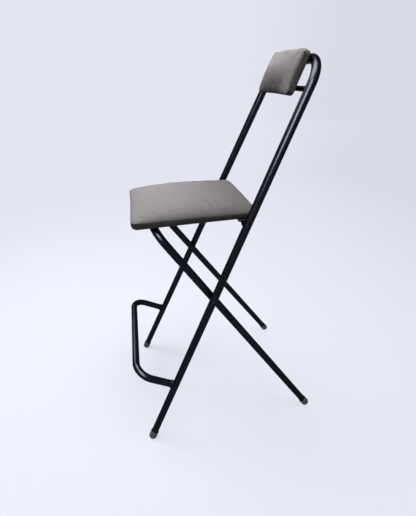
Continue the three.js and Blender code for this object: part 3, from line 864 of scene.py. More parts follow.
def path_object(name, points, cyclic=False):
    """A curve object through points, straight from one to the next."""
    curve = bpy.data.curves.new(name, "CURVE")
    curve.dimensions = "3D"
    spline = curve.splines.new("POLY")
    spline.points.add(len(points) - 1)
    for place, point in zip(spline.points, points):
        place.co = (*point, 1)
    spline.use_cyclic_u = cyclic
    return linked(name, curve)


def bent_path(corners, radius):
    """Corners rounded to a bend radius, with points only at the ends and round the bends."""
    points = [corners[0]]
    for before, corner, after in zip(corners, corners[1:], corners[2:]):
        inward = (corner - before).normalized()
        outward = (after - corner).normalized()
        turn = inward.angle(outward)
        axis = inward.cross(outward).normalized()
        to_centre = axis.cross(inward) * radius
        centre = corner - inward * (radius * math.tan(turn / 2)) + to_centre
        for step in range(BEND_STEPS + 1):
            spoke = Matrix.Rotation(turn * step / BEND_STEPS, 3, axis) @ -to_centre
            points.append(centre + spoke)
    return [*points, corners[-1]]


def scattered(name, spots, fastener, material):
    """Fasteners at (place, turned frame) spots, realized into one mesh."""
    points = new_object(name + "_points", [place for place, _ in spots], [])
    turns = points.data.attributes.new("turn", "QUATERNION", "POINT")
    for entry, (_, turned) in zip(turns.data, spots):
        entry.value = turned.to_quaternion()
    return TREES["fasteners"].use(points, name, {
        "Fastener": fastener, "Material": MATERIALS[material],
    })


# Places in the two frames

class FramePlace:
    """A frame's own plane: across, depth and reach along its legs from the pivot."""

    def __init__(self, lean, taper, half_width):
        self.lean = lean
        self.taper = taper
        self.half_at_pivot = half_width
        self.matrix = Matrix.Translation(PIVOT) @ Matrix.Rotation(-lean, 4, "X")

    def half_width(self, reach):
        return self.half_at_pivot - math.tan(self.taper) * reach

    def at(self, across, depth, reach):
        return self.matrix @ Vector((across, depth, reach))

    def leg(self, side, reach):
        return self.at(side * self.half_width(reach), 0, reach)

    def leg_direction(self, side):
        return Vector((
            -side * math.sin(self.taper),
            math.cos(self.taper) * math.sin(self.lean),
            math.cos(self.taper) * math.cos(self.lean),
        ))

    def cap_height(self):
        """Height of a foot cap's axis end, so that the floor cuts its flat."""
        upright = self.leg_direction(1).z
        sideways = math.sqrt(1 - upright * upright)
        lowest = CAP_ROUNDING * upright - (CAP_RADIUS - CAP_ROUNDING) * sideways - CAP_ROUNDING
        return -lowest - CAP_FLAT_DEPTH

    def cap_reach(self):
        return (self.cap_height() - PIVOT.z) / math.cos(self.lean)

    def tube_end(self):
        return self.cap_reach() + (CAP_END + FIT) * math.cos(self.taper)

    def outline(self, top_reach):
        end = self.tube_end()
        return [self.leg(1, end), self.leg(1, top_reach), self.leg(-1, top_reach), self.leg(-1, end)]


def main_place(sizes):
    rise = HINGE - PIVOT
    return FramePlace(math.atan2(rise.y, rise.z), sizes.main_taper, sizes.main_half_width)


def rear_place(sizes):
    return FramePlace(-sizes.rear_lean, sizes.rear_taper, sizes.rear_half_width)


def rear_top_reach(sizes):
    """Reach of the rear frame's crossbar, whose top is the highest point of its node."""
    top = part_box("rear_frame_tube")[1].z
    return (top - sizes.tube_diameter / 2 - PIVOT.z) / math.cos(sizes.rear_lean)


def seat_underside():
    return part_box("seat_board")[0].z


def tube(name, points, diameter, sides=TUBE_SIDES):
    return TREES["tube"].use(path_object(name, points), name, {
        "Radius": diameter / 2, "Sides": sides, "Material": MATERIALS["frame_paint"],
    })


def joint_curve(start, along, arm_radius, leg_centre, leg_axis, leg_radius, steps):
    """The curve where a round arm comes out of a leg, whose centre line it may pass beside."""
    along = along.normalized()
    first = along.cross(leg_axis).normalized()
    second = along.cross(first)
    slide = along - leg_axis * along.dot(leg_axis)
    a = slide.dot(slide)
    points = []
    for step in range(steps):
        turn = 2 * math.pi * step / steps
        spoke = (first * math.cos(turn) + second * math.sin(turn)) * arm_radius
        offset = start - leg_centre + spoke
        across = offset - leg_axis * offset.dot(leg_axis)
        b = 2 * slide.dot(across)
        c = across.dot(across) - leg_radius ** 2
        travel = (-b + math.sqrt(max(0.0, b * b - 4 * a * c))) / (2 * a)
        points.append(start + along * travel + spoke)
    return points


def weld(name, points, bead=WELD_BEAD, ripple=WELD_RIPPLE):
    return TREES["weld"].use(path_object(name, points, cyclic=True), name, {
        "Bead": bead, "Ripple": ripple, "Ripple Share": RIPPLE_SHARE, "Sides": WELD_SIDES,
        "Material": MATERIALS["frame_paint"],
    })


class StoolOperator:
    """What the stool's operators share."""

    bl_options = {"REGISTER", "UNDO"}

    @classmethod
    def sizes(cls, context):
        return context.scene.stool_frame, context.scene.stool_pads


class STOOL_OT_materials(StoolOperator, bpy.types.Operator):
    """Makes the materials and the node trees that the other steps use"""

    bl_idname = "stool.materials"
    bl_label = "Materials and Trees"

    def execute(self, context):
        make_materials(context.scene.stool_finishes)
        TREES.update(tube=tube_tree(), weld=weld_tree(), fasteners=fastener_tree())
        return {"FINISHED"}


class STOOL_OT_main_frame(StoolOperator, bpy.types.Operator):
    """Bends the main frame, its footrest and the bar behind the back pad, and welds them"""

    bl_idname = "stool.main_frame"
    bl_label = "Main Frame"

    def execute(self, context):
        sizes, _ = self.sizes(context)
        place = main_place(sizes)
        radius = sizes.tube_diameter / 2
        main = tube("main_frame", bent_path(place.outline(sizes.back_reach), sizes.main_bend),
                    sizes.tube_diameter)
        finish_piece(main, "frame_paint", "main_frame", ["main_frame_tube"])

        reach = (sizes.footrest_height - PIVOT.z) / math.cos(place.lean)
        tilt = sizes.footrest_rise - place.lean
        bar_depth = -sizes.footrest_depth * math.cos(tilt)
        bar_reach = reach + sizes.footrest_depth * math.sin(tilt)
        corners = [place.leg(1, reach)]
        corners += [place.at(side * sizes.footrest_half_width, bar_depth, bar_reach) for side in (1, -1)]
        corners += [place.leg(-1, reach)]
        inset = radius * ARM_INSET
        path = bent_path(corners, sizes.footrest_bend)
        path[0] += (path[1] - path[0]).normalized() * inset
        path[-1] += (path[-2] - path[-1]).normalized() * inset
        footrest = tube("footrest", path, sizes.tube_diameter)
        beads = []
        for side, (start, toward) in zip((1, -1), ((corners[0], corners[1]), (corners[3], corners[2]))):
            axis = place.leg_direction(side)
            curve = joint_curve(start, toward - start, radius, start, axis, radius, JOINT_STEPS)
            beads.append(weld("footrest_bead", curve))
        footrest = joined([footrest, *beads], "footrest")
        shade(footrest)
        finish_piece(footrest, "frame_paint", "main_frame", ["footrest_tube"])

        bar_radius = sizes.back_bar_diameter / 2
        ends = [
            place.at(side * place.half_width(sizes.back_bar_reach), bar_radius - radius,
                     sizes.back_bar_reach)
            for side in (1, -1)
        ]
        inward = (ends[1] - ends[0]).normalized() * inset
        bar = tube("back_bar", [ends[0] + inward, ends[1] - inward], sizes.back_bar_diameter, BAR_SIDES)
        beads = []
        for end, toward, side in ((ends[0], ends[1], 1), (ends[1], ends[0], -1)):
            axis = place.leg_direction(side)
            centre = place.leg(side, sizes.back_bar_reach)
            curve = joint_curve(end, toward - end, bar_radius, centre, axis, radius, BAR_JOINT_STEPS)
            beads.append(weld("back_bar_bead", curve, BAR_WELD_BEAD, BAR_WELD_RIPPLE))
        bar = joined([bar, *beads], "back_bar")
        shade(bar)
        finish_piece(bar, "frame_paint", "main_frame", ["back_support_bar"])
        return {"FINISHED"}


class STOOL_OT_rear_frame(StoolOperator, bpy.types.Operator):
    """Bends the rear frame"""

    bl_idname = "stool.rear_frame"
    bl_label = "Rear Frame"

    def execute(self, context):
        sizes, _ = self.sizes(context)
        place = rear_place(sizes)
        rear = tube("rear_frame_legs", bent_path(place.outline(rear_top_reach(sizes)), sizes.rear_bend),
                    sizes.tube_diameter)
        finish_piece(rear, "frame_paint", "rear_frame", ["rear_frame_tube"])
        return {"FINISHED"}


def cap_profile(bore):
    """Outside and inside of a foot cap, from its end on the floor to its mouth and back in."""
    tread_depth = 0.0007
    tread_inner = 0.0022
    tread_outer = 0.0027
    straight_from = 0.013
    draft = 0.0001
    groove_depth = 0.0004
    groove_ease = 0.0006
    mouth_ease = 0.0005
    tread = [(0, tread_depth), (tread_inner, tread_depth), (tread_outer, 0.0)]
    rounding = arc((CAP_RADIUS - CAP_ROUNDING, CAP_ROUNDING), CAP_ROUNDING, -math.pi / 2, 0, 12)
    groove_height = CAP_LENGTH - 0.0062
    lip = 0.0009
    wall = CAP_RADIUS - groove_depth
    outside = [
        (CAP_RADIUS, straight_from),
        (wall, groove_height - 2 * groove_ease),
        (wall - groove_depth, groove_height - groove_ease),
        (wall - groove_depth, groove_height),
        (CAP_RADIUS - draft, groove_height + groove_ease),
        (CAP_RADIUS - draft, CAP_LENGTH - lip),
        *arc((CAP_RADIUS - lip - draft, CAP_LENGTH - lip), lip, 0, math.pi / 2, 4)[1:],
    ]
    inside = [
        (bore + mouth_ease, CAP_LENGTH), (bore, CAP_LENGTH - groove_ease), (bore, CAP_END), (0, CAP_END),
    ]
    return [*tread, *rounding, *outside, *inside]


class STOOL_OT_foot_caps(StoolOperator, bpy.types.Operator):
    """Turns the four rubber foot caps and cuts their flats on the floor"""

    bl_idname = "stool.foot_caps"
    bl_label = "Foot Caps"

    def execute(self, context):
        sizes, _ = self.sizes(context)
        profile = cap_profile(sizes.tube_diameter / 2 + FIT)
        kinds = (("front", main_place(sizes), "main_frame"), ("rear", rear_place(sizes), "rear_frame"))
        for kind, place, body in kinds:
            for label, side in SIDES:
                end = place.leg(side, place.cap_reach())
                turn = Matrix.Translation(end) @ axis_turn(place.leg_direction(side))
                cap = lathe(f"{kind}_cap_{label}", profile, CAP_STEPS, turn)
                shape = bmesh.new()
                shape.from_mesh(cap.data)
                cut = bmesh.ops.bisect_plane(
                    shape, geom=[*shape.verts, *shape.edges, *shape.faces],
                    plane_co=(0, 0, 0), plane_no=(0, 0, 1), clear_inner=True,
                )
                rim = [edge for edge in cut["geom_cut"] if isinstance(edge, bmesh.types.BMEdge)]
                bmesh.ops.holes_fill(shape, edges=rim)
                bmesh.ops.recalc_face_normals(shape, faces=shape.faces)
                shape.to_mesh(cap.data)
                shape.free()
                shade(cap, CAP_CREASE)
                finish_piece(cap, "foot_rubber", body, [f"{kind}_foot_cap_{label}"])
        return {"FINISHED"}


def domed(radius, height, steps=8, flat_share=0.28):
    """Profile of a low domed head above z = 0, from its rim to its axis, with a flat crown."""
    flat = radius * flat_share
    points = [(radius, 0), (radius, HEAD_RIM)]
    for step in range(1, steps + 1):
        turn = math.pi / 2 * step / steps
        rise = HEAD_RIM + (height - HEAD_RIM) * math.sin(turn)
        points.append((flat + (radius - flat) * math.cos(turn), rise))
    return [*points, (0, height)]


class STOOL_OT_pivots(StoolOperator, bpy.types.Operator):
    """Sets the two pivot rivets and the washers between the frames"""

    bl_idname = "stool.pivots"
    bl_label = "Pivot Rivets"

    def execute(self, context):
        sizes, _ = self.sizes(context)
        radius = sizes.tube_diameter / 2
        outer = sizes.main_half_width + radius + math.tan(sizes.main_taper) * RIVET_HEAD_RADIUS + FIT
        inner = sizes.rear_half_width - radius - math.tan(sizes.rear_taper) * RIVET_HEAD_RADIUS - FIT
        ring_outer = sizes.main_half_width - radius - math.tan(sizes.main_taper) * WASHER_RADIUS - FIT
        ring_inner = sizes.rear_half_width + radius + math.tan(sizes.rear_taper) * WASHER_RADIUS + FIT
        half = (outer - inner) / 2
        head = domed(RIVET_HEAD_RADIUS, RIVET_HEAD_HEIGHT)
        upper = [(across, half + height) for across, height in head]
        lower = [(across, -half - height) for across, height in reversed(head)]
        profile = [*lower, (RIVET_SHANK_RADIUS, -half), (RIVET_SHANK_RADIUS, half), *upper]
        for label, side in SIDES:
            centre = PIVOT + Vector((side * (outer + inner) / 2, 0, 0))
            place = Matrix.Translation(centre) @ Matrix.Rotation(math.pi / 2, 4, "Y")
            rivet = lathe(f"pivot_rivet_head_{label}", profile, ROUND_STEPS, place)
            shade(rivet)
            finish_piece(rivet, "frame_paint", "main_frame", [f"pivot_rivet_{label}"])
            middle = PIVOT + Vector((side * (ring_outer + ring_inner) / 2, 0, 0))
            washer = make_washer(f"pivot_spacer_{label}", middle, ring_outer - ring_inner,
                                 RIVET_SHANK_RADIUS + FIT)
            finish_piece(washer, "washer_plastic", "main_frame", [f"pivot_washer_{label}"])
        return {"FINISHED"}


def make_washer(name, centre, thickness, hole):
    """A flat ring about X with eased edges."""
    half = thickness / 2
    ease = min(WASHER_EASE, thickness / 4)
    profile = [
        (hole, -half), (WASHER_RADIUS - ease, -half), (WASHER_RADIUS, ease - half),
        (WASHER_RADIUS, half - ease), (WASHER_RADIUS - ease, half), (hole, half),
    ]
    place = Matrix.Translation(centre) @ Matrix.Rotation(math.pi / 2, 4, "Y")
    washer = ring_lathe(name, profile, ROUND_STEPS, place)
    shade(washer)
    return washer


class SeatHinge:
    """Places along X at the seat's hinge, from the leg's inner wall to the bracket's ear."""

    def __init__(self, sizes):
        reach = (HINGE - PIVOT).length
        slope = math.tan(sizes.main_taper)
        self.leg_inner = sizes.main_half_width - slope * reach - sizes.tube_diameter / 2
        self.washer_outer = self.leg_inner - slope * WASHER_RADIUS - FIT
        self.ear_outer = self.washer_outer - HINGE_WASHER_THICKNESS - FIT
        self.ear_inner = self.ear_outer - BRACKET_PLATE
        self.drop = seat_underside() - HINGE.z


class STOOL_OT_hinge_pins(StoolOperator, bpy.types.Operator):
    """Sets the seat's hinge pins and their washers"""

    bl_idname = "stool.hinge_pins"
    bl_label = "Seat Hinge Pins"

    def execute(self, context):
        sizes, _ = self.sizes(context)
        hinge = SeatHinge(sizes)
        head_x = hinge.ear_inner - FIT
        shank = hinge.leg_inner + TUBE_WALL + PIN_WELD_DEPTH - head_x
        head = domed(PIN_HEAD_RADIUS, PIN_HEAD_HEIGHT, flat_share=0.45)
        profile = [(0, -shank), (PIN_RADIUS - PIN_CHAMFER, -shank), (PIN_RADIUS, PIN_CHAMFER - shank),
                   (PIN_RADIUS, 0), *head]
        for label, side in SIDES:
            place = Matrix.Translation((side * head_x, HINGE.y, HINGE.z)) @ axis_turn((-side, 0, 0))
            pin = lathe(f"hinge_pin_{label}", profile, ROUND_STEPS, place)
            shade(pin)
            finish_piece(pin, "zinc_steel", "main_frame", [f"seat_hinge_pin_{label}"])
            centre = Vector((side * (hinge.washer_outer - HINGE_WASHER_THICKNESS / 2), HINGE.y, HINGE.z))
            washer = make_washer(f"hinge_washer_{label}", centre, HINGE_WASHER_THICKNESS,
                                 PIN_RADIUS + FIT)
            finish_piece(washer, "washer_plastic", "main_frame", [f"seat_hinge_washer_{label}"])
        return {"FINISHED"}


def bent_plate(name, outline, holes, thickness, fold_start, fold_radius, fold_turn, fold_steps, place):
    """Sheet steel cut to an outline in U and V, then bent upwards about U past a fold line.

    The plate lies flat on W from 0 to its thickness, and the fold radius is to its inside, which
    is the W = thickness face.
    """
    shape = bmesh.new()
    loops = [outline, *holes]
    for loop in loops:
        corners = [shape.verts.new((u, v, 0)) for u, v in loop]
        for first, second in zip(corners, [*corners[1:], corners[0]]):
            shape.edges.new((first, second))
    bmesh.ops.triangle_fill(shape, use_beauty=True, edges=shape.edges[:])
    neutral = fold_radius + thickness / 2
    span = neutral * fold_turn
    for step in range(fold_steps + 1):
        bmesh.ops.bisect_plane(
            shape, geom=[*shape.verts, *shape.edges, *shape.faces],
            plane_co=(0, fold_start + span * step / fold_steps, 0), plane_no=(0, 1, 0),
        )
    bmesh.ops.recalc_face_normals(shape, faces=shape.faces)
    if shape.faces[0].normal.z > 0:
        bmesh.ops.reverse_faces(shape, faces=shape.faces[:])
    raised = bmesh.ops.extrude_face_region(shape, geom=shape.faces[:])
    for part in raised["geom"]:
        if isinstance(part, bmesh.types.BMVert):
            part.co.z += thickness
    for vertex in shape.verts:
        u, v, w = vertex.co
        past = v - fold_start
        if past > 0:
            turn = min(past / neutral, fold_turn)
            beyond = max(0.0, past - span)
            arm = fold_radius + thickness - w
            v = fold_start + arm * math.sin(turn) + beyond * math.cos(turn)
            w = fold_radius + thickness - arm * math.cos(turn) + beyond * math.sin(turn)
        vertex.co = place @ Vector((u, v, w))
    bmesh.ops.recalc_face_normals(shape, faces=shape.faces)
    plate = mesh_object(name, shape)
    ease = plate.modifiers.new("Ease", "BEVEL")
    ease.width = PLATE_EDGE
    ease.segments = 2
    ease.limit_method = "ANGLE"
    ease.angle_limit = PLATE_BEVEL_FROM
    plate = baked(plate)
    shade(plate, PLATE_CREASE)
    return plate


def circle(u, v, radius, steps=28):
    return arc((u, v), radius, 0, 2 * math.pi, steps)[:-1]


def smooth_run(start, control, end, steps=8):
    """Points of a quadratic curve after its start."""
    run = []
    for step in range(1, steps + 1):
        part = step / steps
        run.append(tuple(
            (1 - part) ** 2 * a + 2 * part * (1 - part) * b + part ** 2 * c
            for a, b, c in zip(start, control, end)
        ))
    return run


def bracket_mesh(name, side, hinge):
    """The hinge bracket: a flange under the board, bent down into an ear round the pin."""
    fold_radius = BRACKET_FOLD_RADIUS
    neutral = fold_radius + BRACKET_PLATE / 2
    fold_length = neutral * math.pi / 2
    outer_bend = fold_radius + BRACKET_PLATE
    flat = FLANGE_WIDTH - outer_bend
    top = hinge.drop - FIT
    ear_drop = top - outer_bend
    eye = flat + fold_length + ear_drop
    throat = eye - ear_drop + BRACKET_NECK
    screw_v = FLANGE_WIDTH - BRACKET_SCREW_INSET
    corner = PLATE_CORNER
    hole_radius = SCREW_RADIUS + FIT
    outline = [(-FLANGE_FRONT, throat - BRACKET_NECK)]
    outline += smooth_run(outline[0], (-EAR_RADIUS, throat), (-EAR_RADIUS, eye))
    ear = arc((0, eye), EAR_RADIUS, math.pi, 0, 26)
    outline += ear[1:]
    outline += smooth_run((EAR_RADIUS, eye), (EAR_RADIUS, throat), (FLANGE_REAR, throat - BRACKET_NECK))
    outline += arc((FLANGE_REAR - corner, corner), corner, 0, -math.pi / 2, 6)
    outline += arc((-FLANGE_FRONT + corner, corner), corner, -math.pi / 2, -math.pi, 6)
    holes = [circle(u, screw_v, hole_radius) for u in BRACKET_SCREW_PLACES]
    holes.append(circle(0, eye, PIN_RADIUS + FIT, 36))
    inner_edge = hinge.ear_outer - FLANGE_WIDTH
    place = Matrix((
        (0, side, 0, side * inner_edge),
        (1, 0, 0, HINGE.y),
        (0, 0, -1, HINGE.z + top),
        (0, 0, 0, 1),
    ))
    return bent_plate(name, outline, holes, BRACKET_PLATE, flat, fold_radius, math.pi / 2, 8, place)


class STOOL_OT_brackets(StoolOperator, bpy.types.Operator):
    """Bends the two hinge brackets under the seat"""

    bl_idname = "stool.brackets"
    bl_label = "Hinge Brackets"

    def execute(self, context):
        sizes, _ = self.sizes(context)
        hinge = SeatHinge(sizes)
        for label, side in SIDES:
            bracket = bracket_mesh(f"hinge_bracket_{label}", side, hinge)
            finish_piece(bracket, "bracket_paint", "seat", [f"seat_hinge_bracket_{label}"])
        return {"FINISHED"}


def crossbar(sizes):
    """Centre of the rear frame's crossbar, on the middle plane."""
    return rear_place(sizes).at(0, 0, rear_top_reach(sizes))


class STOOL_OT_catches(StoolOperator, bpy.types.Operator):
    """Bends the two strap hooks that drop over the rear frame's crossbar"""

    bl_idname = "stool.catches"
    bl_label = "Seat Catches"

    def execute(self, context):
        sizes, _ = self.sizes(context)
        bar = crossbar(sizes)
        radius = sizes.tube_diameter / 2 + FIT
        for label, side in SIDES:
            half = CATCH_WIDTH / 2
            tip = CATCH_FLANGE + (radius + CATCH_PLATE / 2) * CATCH_WRAP
            corner = PLATE_CORNER
            blunt = tip - CATCH_CHAMFER
            outline = [
                (half, blunt), (half - CATCH_CHAMFER, tip), (CATCH_CHAMFER - half, tip), (-half, blunt),
            ]
            outline += arc((corner - half, corner), corner, math.pi, 1.5 * math.pi, 6)
            outline += arc((half - corner, corner), corner, -math.pi / 2, 0, 6)
            holes = [circle(0, CATCH_FLANGE - v, SCREW_RADIUS + FIT) for v in CATCH_SCREW_PLACES]
            place = Matrix((
                (1, 0, 0, side * CATCH_SPACING),
                (0, -1, 0, bar.y + CATCH_FLANGE),
                (0, 0, -1, bar.z + radius + CATCH_PLATE),
                (0, 0, 0, 1),
            ))
            hook = bent_plate(f"seat_hook_{label}", outline, holes, CATCH_PLATE, CATCH_FLANGE, radius,
                              CATCH_WRAP, 24, place)
            finish_piece(hook, "bracket_paint", "seat", [f"seat_catch_{label}"])
        return {"FINISHED"}


def unit_screw(name, shank):
    """A pan head screw with a cross recess: head above z = 0, threaded shank below."""
    head = domed(SCREW_HEAD_RADIUS, SCREW_HEAD_HEIGHT, flat_share=0.5)
    thread_from = -shank + SCREW_TIP
    profile = [(0, -shank), (SCREW_RADIUS * SCREW_POINT, -shank + SCREW_TIP * SCREW_POINT)]
    turns = int((shank - SCREW_TIP) / SCREW_PITCH) - 1
    for turn in range(turns):
        foot = thread_from + turn * SCREW_PITCH
        profile += [(SCREW_RADIUS * SCREW_ROOT, foot), (SCREW_RADIUS, foot + SCREW_PITCH * SCREW_CREST)]
    runout = thread_from + turns * SCREW_PITCH
    profile += [(SCREW_RADIUS * SCREW_RUNOUT, runout), (SCREW_RADIUS * SCREW_NECK, 0), *head]
    screw = lathe(name, profile, SCREW_STEPS)
    bottom = SCREW_HEAD_HEIGHT - RECESS_DEPTH
    arm = RECESS_ARM / 2
    shape = bmesh.new()
    layers = []
    ends = ((bottom, RECESS_LOW_SHARE), (SCREW_HEAD_HEIGHT + RECESS_DEPTH, RECESS_HIGH_SHARE))
    for height, widened in ends:
        reach = RECESS_REACH * widened
        quarter = [(arm, arm), (arm, reach), (-arm, reach), (-arm, arm)]
        cross = []
        for turn in range(4):
            spin = Matrix.Rotation(turn * math.pi / 2, 2)
            cross += [spin @ Vector(corner) for corner in quarter[:3]]
        layers.append([shape.verts.new((*corner, height)) for corner in cross])
    low, high = layers
    count = len(low)
    for i in range(count):
        shape.faces.new((low[i], low[(i + 1) % count], high[(i + 1) % count], high[i]))
    shape.faces.new(low)
    shape.faces.new(high)
    bmesh.ops.recalc_face_normals(shape, faces=shape.faces)
    cutter = mesh_object(name + "_recess", shape)
    recess = screw.modifiers.new("Recess", "BOOLEAN")
    recess.operation = "DIFFERENCE"
    recess.solver = "EXACT"
    recess.object = cutter
    screw = baked(screw, name)
    bpy.data.objects.remove(cutter)
    shade(screw, SCREW_CREASE)
    return screw


def screw_row(name, spots, shank, body, nodes):
    """Screws at (place, direction, turn of the recess) spots, as one piece on one body."""
    unit = unit_screw(name + "_unit", shank)
    turned = [
        (place, axis_turn(direction) @ Matrix.Rotation(turn, 4, "Z")) for place, direction, turn in spots
    ]
    row = scattered(name, turned, unit, "zinc_steel")
    bpy.data.objects.remove(unit)
    return finish_piece(row, "zinc_steel", body, nodes)


class STOOL_OT_screws(StoolOperator, bpy.types.Operator):
    """Drives the screws of the brackets, the catches and the back pad"""

    bl_idname = "stool.screws"
    bl_label = "Screws"

    def execute(self, context):
        sizes, _ = self.sizes(context)
        hinge = SeatHinge(sizes)
        bar = crossbar(sizes)
        under = seat_underside()
        down = Vector((0, 0, -1))
        for name, stem, x, y, plate, rows in (
            ("bracket_screws", "hinge_screw", hinge.ear_outer - BRACKET_SCREW_INSET, HINGE.y,
             BRACKET_PLATE, list(zip(BRACKET_SCREW_PLACES, BRACKET_SCREW_TURNS))),
            ("catch_screws", "catch_screw", CATCH_SPACING, bar.y,
             CATCH_PLATE, list(zip(CATCH_SCREW_PLACES, CATCH_SCREW_TURNS))),
        ):
            head_z = under - FIT - plate - FIT
            spots = [
                (Vector((side * x, y + v, head_z)), down, turn * side)
                for _, side in SIDES for v, turn in rows
            ]
            nodes = [f"{stem}_{label}_{index}" for label, _ in SIDES for index in (1, 2)]
            screw_row(name, spots, under - head_z + SCREW_BITE, "seat", nodes)

        place = main_place(sizes)
        rearward = (place.matrix.to_3x3() @ Vector((0, 1, 0))).normalized()
        radius = sizes.tube_diameter / 2
        rows = (
            ("top", TOP_SCREW_SPACING, sizes.back_reach, radius, TOP_SCREW_TURN),
            ("low", LOW_SCREW_SPACING, sizes.back_bar_reach, sizes.back_bar_diameter - radius,
             LOW_SCREW_TURN),
        )
        for row, spacing, reach, rear, turn in rows:
            depth = rear + FIT
            spots = [
                (place.at(side * spacing, depth, reach), rearward, turn * side) for _, side in SIDES
            ]
            shank = depth + radius + FIT + SCREW_BITE
            screw_row(f"back_pad_screws_{row}", spots, shank, "main_frame",
                      [f"backrest_screw_{row}_{label}" for label, _ in SIDES])
        return {"FINISHED"}


# Pads

class PadShape:
    """A padded board in its own U, V and height: outline, side band, seam, crown and hem.

    Places on it are given on a square from -1 to 1, S across and T along, which maps to its
    round-cornered outline.
    """

    def __init__(self, halves, reaches, corner, draw_in, side, crown, edges, lean, pads):
        self.low_half, self.high_half = halves
        self.corner = corner
        self.draw_in = draw_in
        self.side = side
        self.crown = crown
        self.edges = edges
        self.lean = lean
        self.pads = pads
        self.half_u = sum(halves) / 2
        self.half_v = (reaches[1] - reaches[0]) / 2
        self.middle = sum(reaches) / 2

    def warped(self, u, v):
        """A point of the plain round-cornered rectangle, moved to the tapered and drawn-in outline."""
        across = max(-1, min(1, u / self.half_u))
        along = max(-1, min(1, v / self.half_v))
        taper = ((1 - along) * self.low_half + (1 + along) * self.high_half) / (2 * self.half_u)
        pull_u = 1 - self.draw_in / self.half_u * math.cos(math.pi / 2 * along)
        pull_v = 1 - self.draw_in / self.half_v * math.cos(math.pi / 2 * across)
        return u * taper * pull_u, v * pull_v + self.middle

    def rounded(self, s, t, inset=0.0):
        """Maps the square to the plain round-cornered rectangle, inset all round."""
        a = self.half_u - inset
        b = self.half_v - inset
        r = max(self.corner - inset, SMALLEST_CORNER)
        edge_u = 1 - r / a
        edge_v = 1 - r / b
        over_u = (abs(s) - edge_u) / (1 - edge_u)
        over_v = (abs(t) - edge_v) / (1 - edge_v)
        if over_u <= 0 or over_v <= 0:
            return s * a, t * b
        if over_u >= over_v:
            reach, turn = over_u, math.pi / 4 * over_v / over_u
        else:
            reach, turn = over_v, math.pi / 2 - math.pi / 4 * over_u / over_v
        u = a - r + r * reach * math.cos(turn)
        v = b - r + r * reach * math.sin(turn)
        return math.copysign(u, s), math.copysign(v, t)

    def at(self, s, t, inset=0.0):
        return self.warped(*self.rounded(s, t, inset))

    def fullness(self, s, t):
        """Share of the crown's height: it rises at once at the seam, then domes gently."""
        total = 1.0
        slant = (0.0, self.lean * t)
        for place, half, (edge, fade), more in zip((s, t), (self.half_u, self.half_v), self.edges, slant):
            inward = (1 - abs(place)) * half
            rise = (1 - math.exp(-inward / fade)) / (1 - math.exp(-half / fade))
            full = edge + more
            total *= full * rise + (1 - full) * (1 - place * place)
        return total

    def height(self, s, t):
        return self.side + self.crown * self.fullness(s, t)


def grid_steps(count):
    """Steps from -1 to 1, closer together towards both ends."""
    even = [2 * step / count - 1 for step in range(count + 1)]
    return [(1 - CROWDING) * place + CROWDING * math.sin(place * math.pi / 2) for place in even]


def square_border(across, along):
    """Grid steps round the border of a square grid, anticlockwise from its low corner."""
    border = [(i, 0) for i in range(across)]
    border += [(across, j) for j in range(along)]
    border += [(i, along) for i in range(across, 0, -1)]
    border += [(0, j) for j in range(along, 0, -1)]
    return border


class PadMesh:
    """A closed cushion: crowned face, seam, side band, hem turned under, pocket for its board."""

    def __init__(self, shape, spacing, height_at):
        self.shape = shape
        self.columns = grid_steps(round(2 * shape.half_u / spacing))
        self.rows = grid_steps(round(2 * shape.half_v / spacing))
        self.border = square_border(len(self.columns) - 1, len(self.rows) - 1)
        self.vertices = []
        self.faces = []
        self.last = self.grid(height_at, 0.0, False)

    def add(self, s, t, inset, height):
        self.vertices.append((*self.shape.at(s, t, inset), height))
        return len(self.vertices) - 1

    def grid(self, height_at, inset, flipped):
        """Adds a whole face and returns its border."""
        index = [[self.add(s, t, inset, height_at(s, t)) for t in self.rows] for s in self.columns]
        for left, right in zip(index, index[1:]):
            for j in range(len(self.rows) - 1):
                corners = (left[j], right[j], right[j + 1], left[j + 1])
                self.faces.append(corners[::-1] if flipped else corners)
        return [index[i][j] for i, j in self.border]

    def bridge(self, current):
        """Joins the last ring to this one."""
        count = len(current)
        for i in range(count):
            j = (i + 1) % count
            self.faces.append((self.last[j], self.last[i], current[i], current[j]))
        self.last = current

    def ring(self, inset, height_at):
        """Adds a ring inset from the outline and joins it to the last."""
        spots = [(self.columns[i], self.rows[j]) for i, j in self.border]
        self.bridge([self.add(s, t, inset, height_at(s, t)) for s, t in spots])


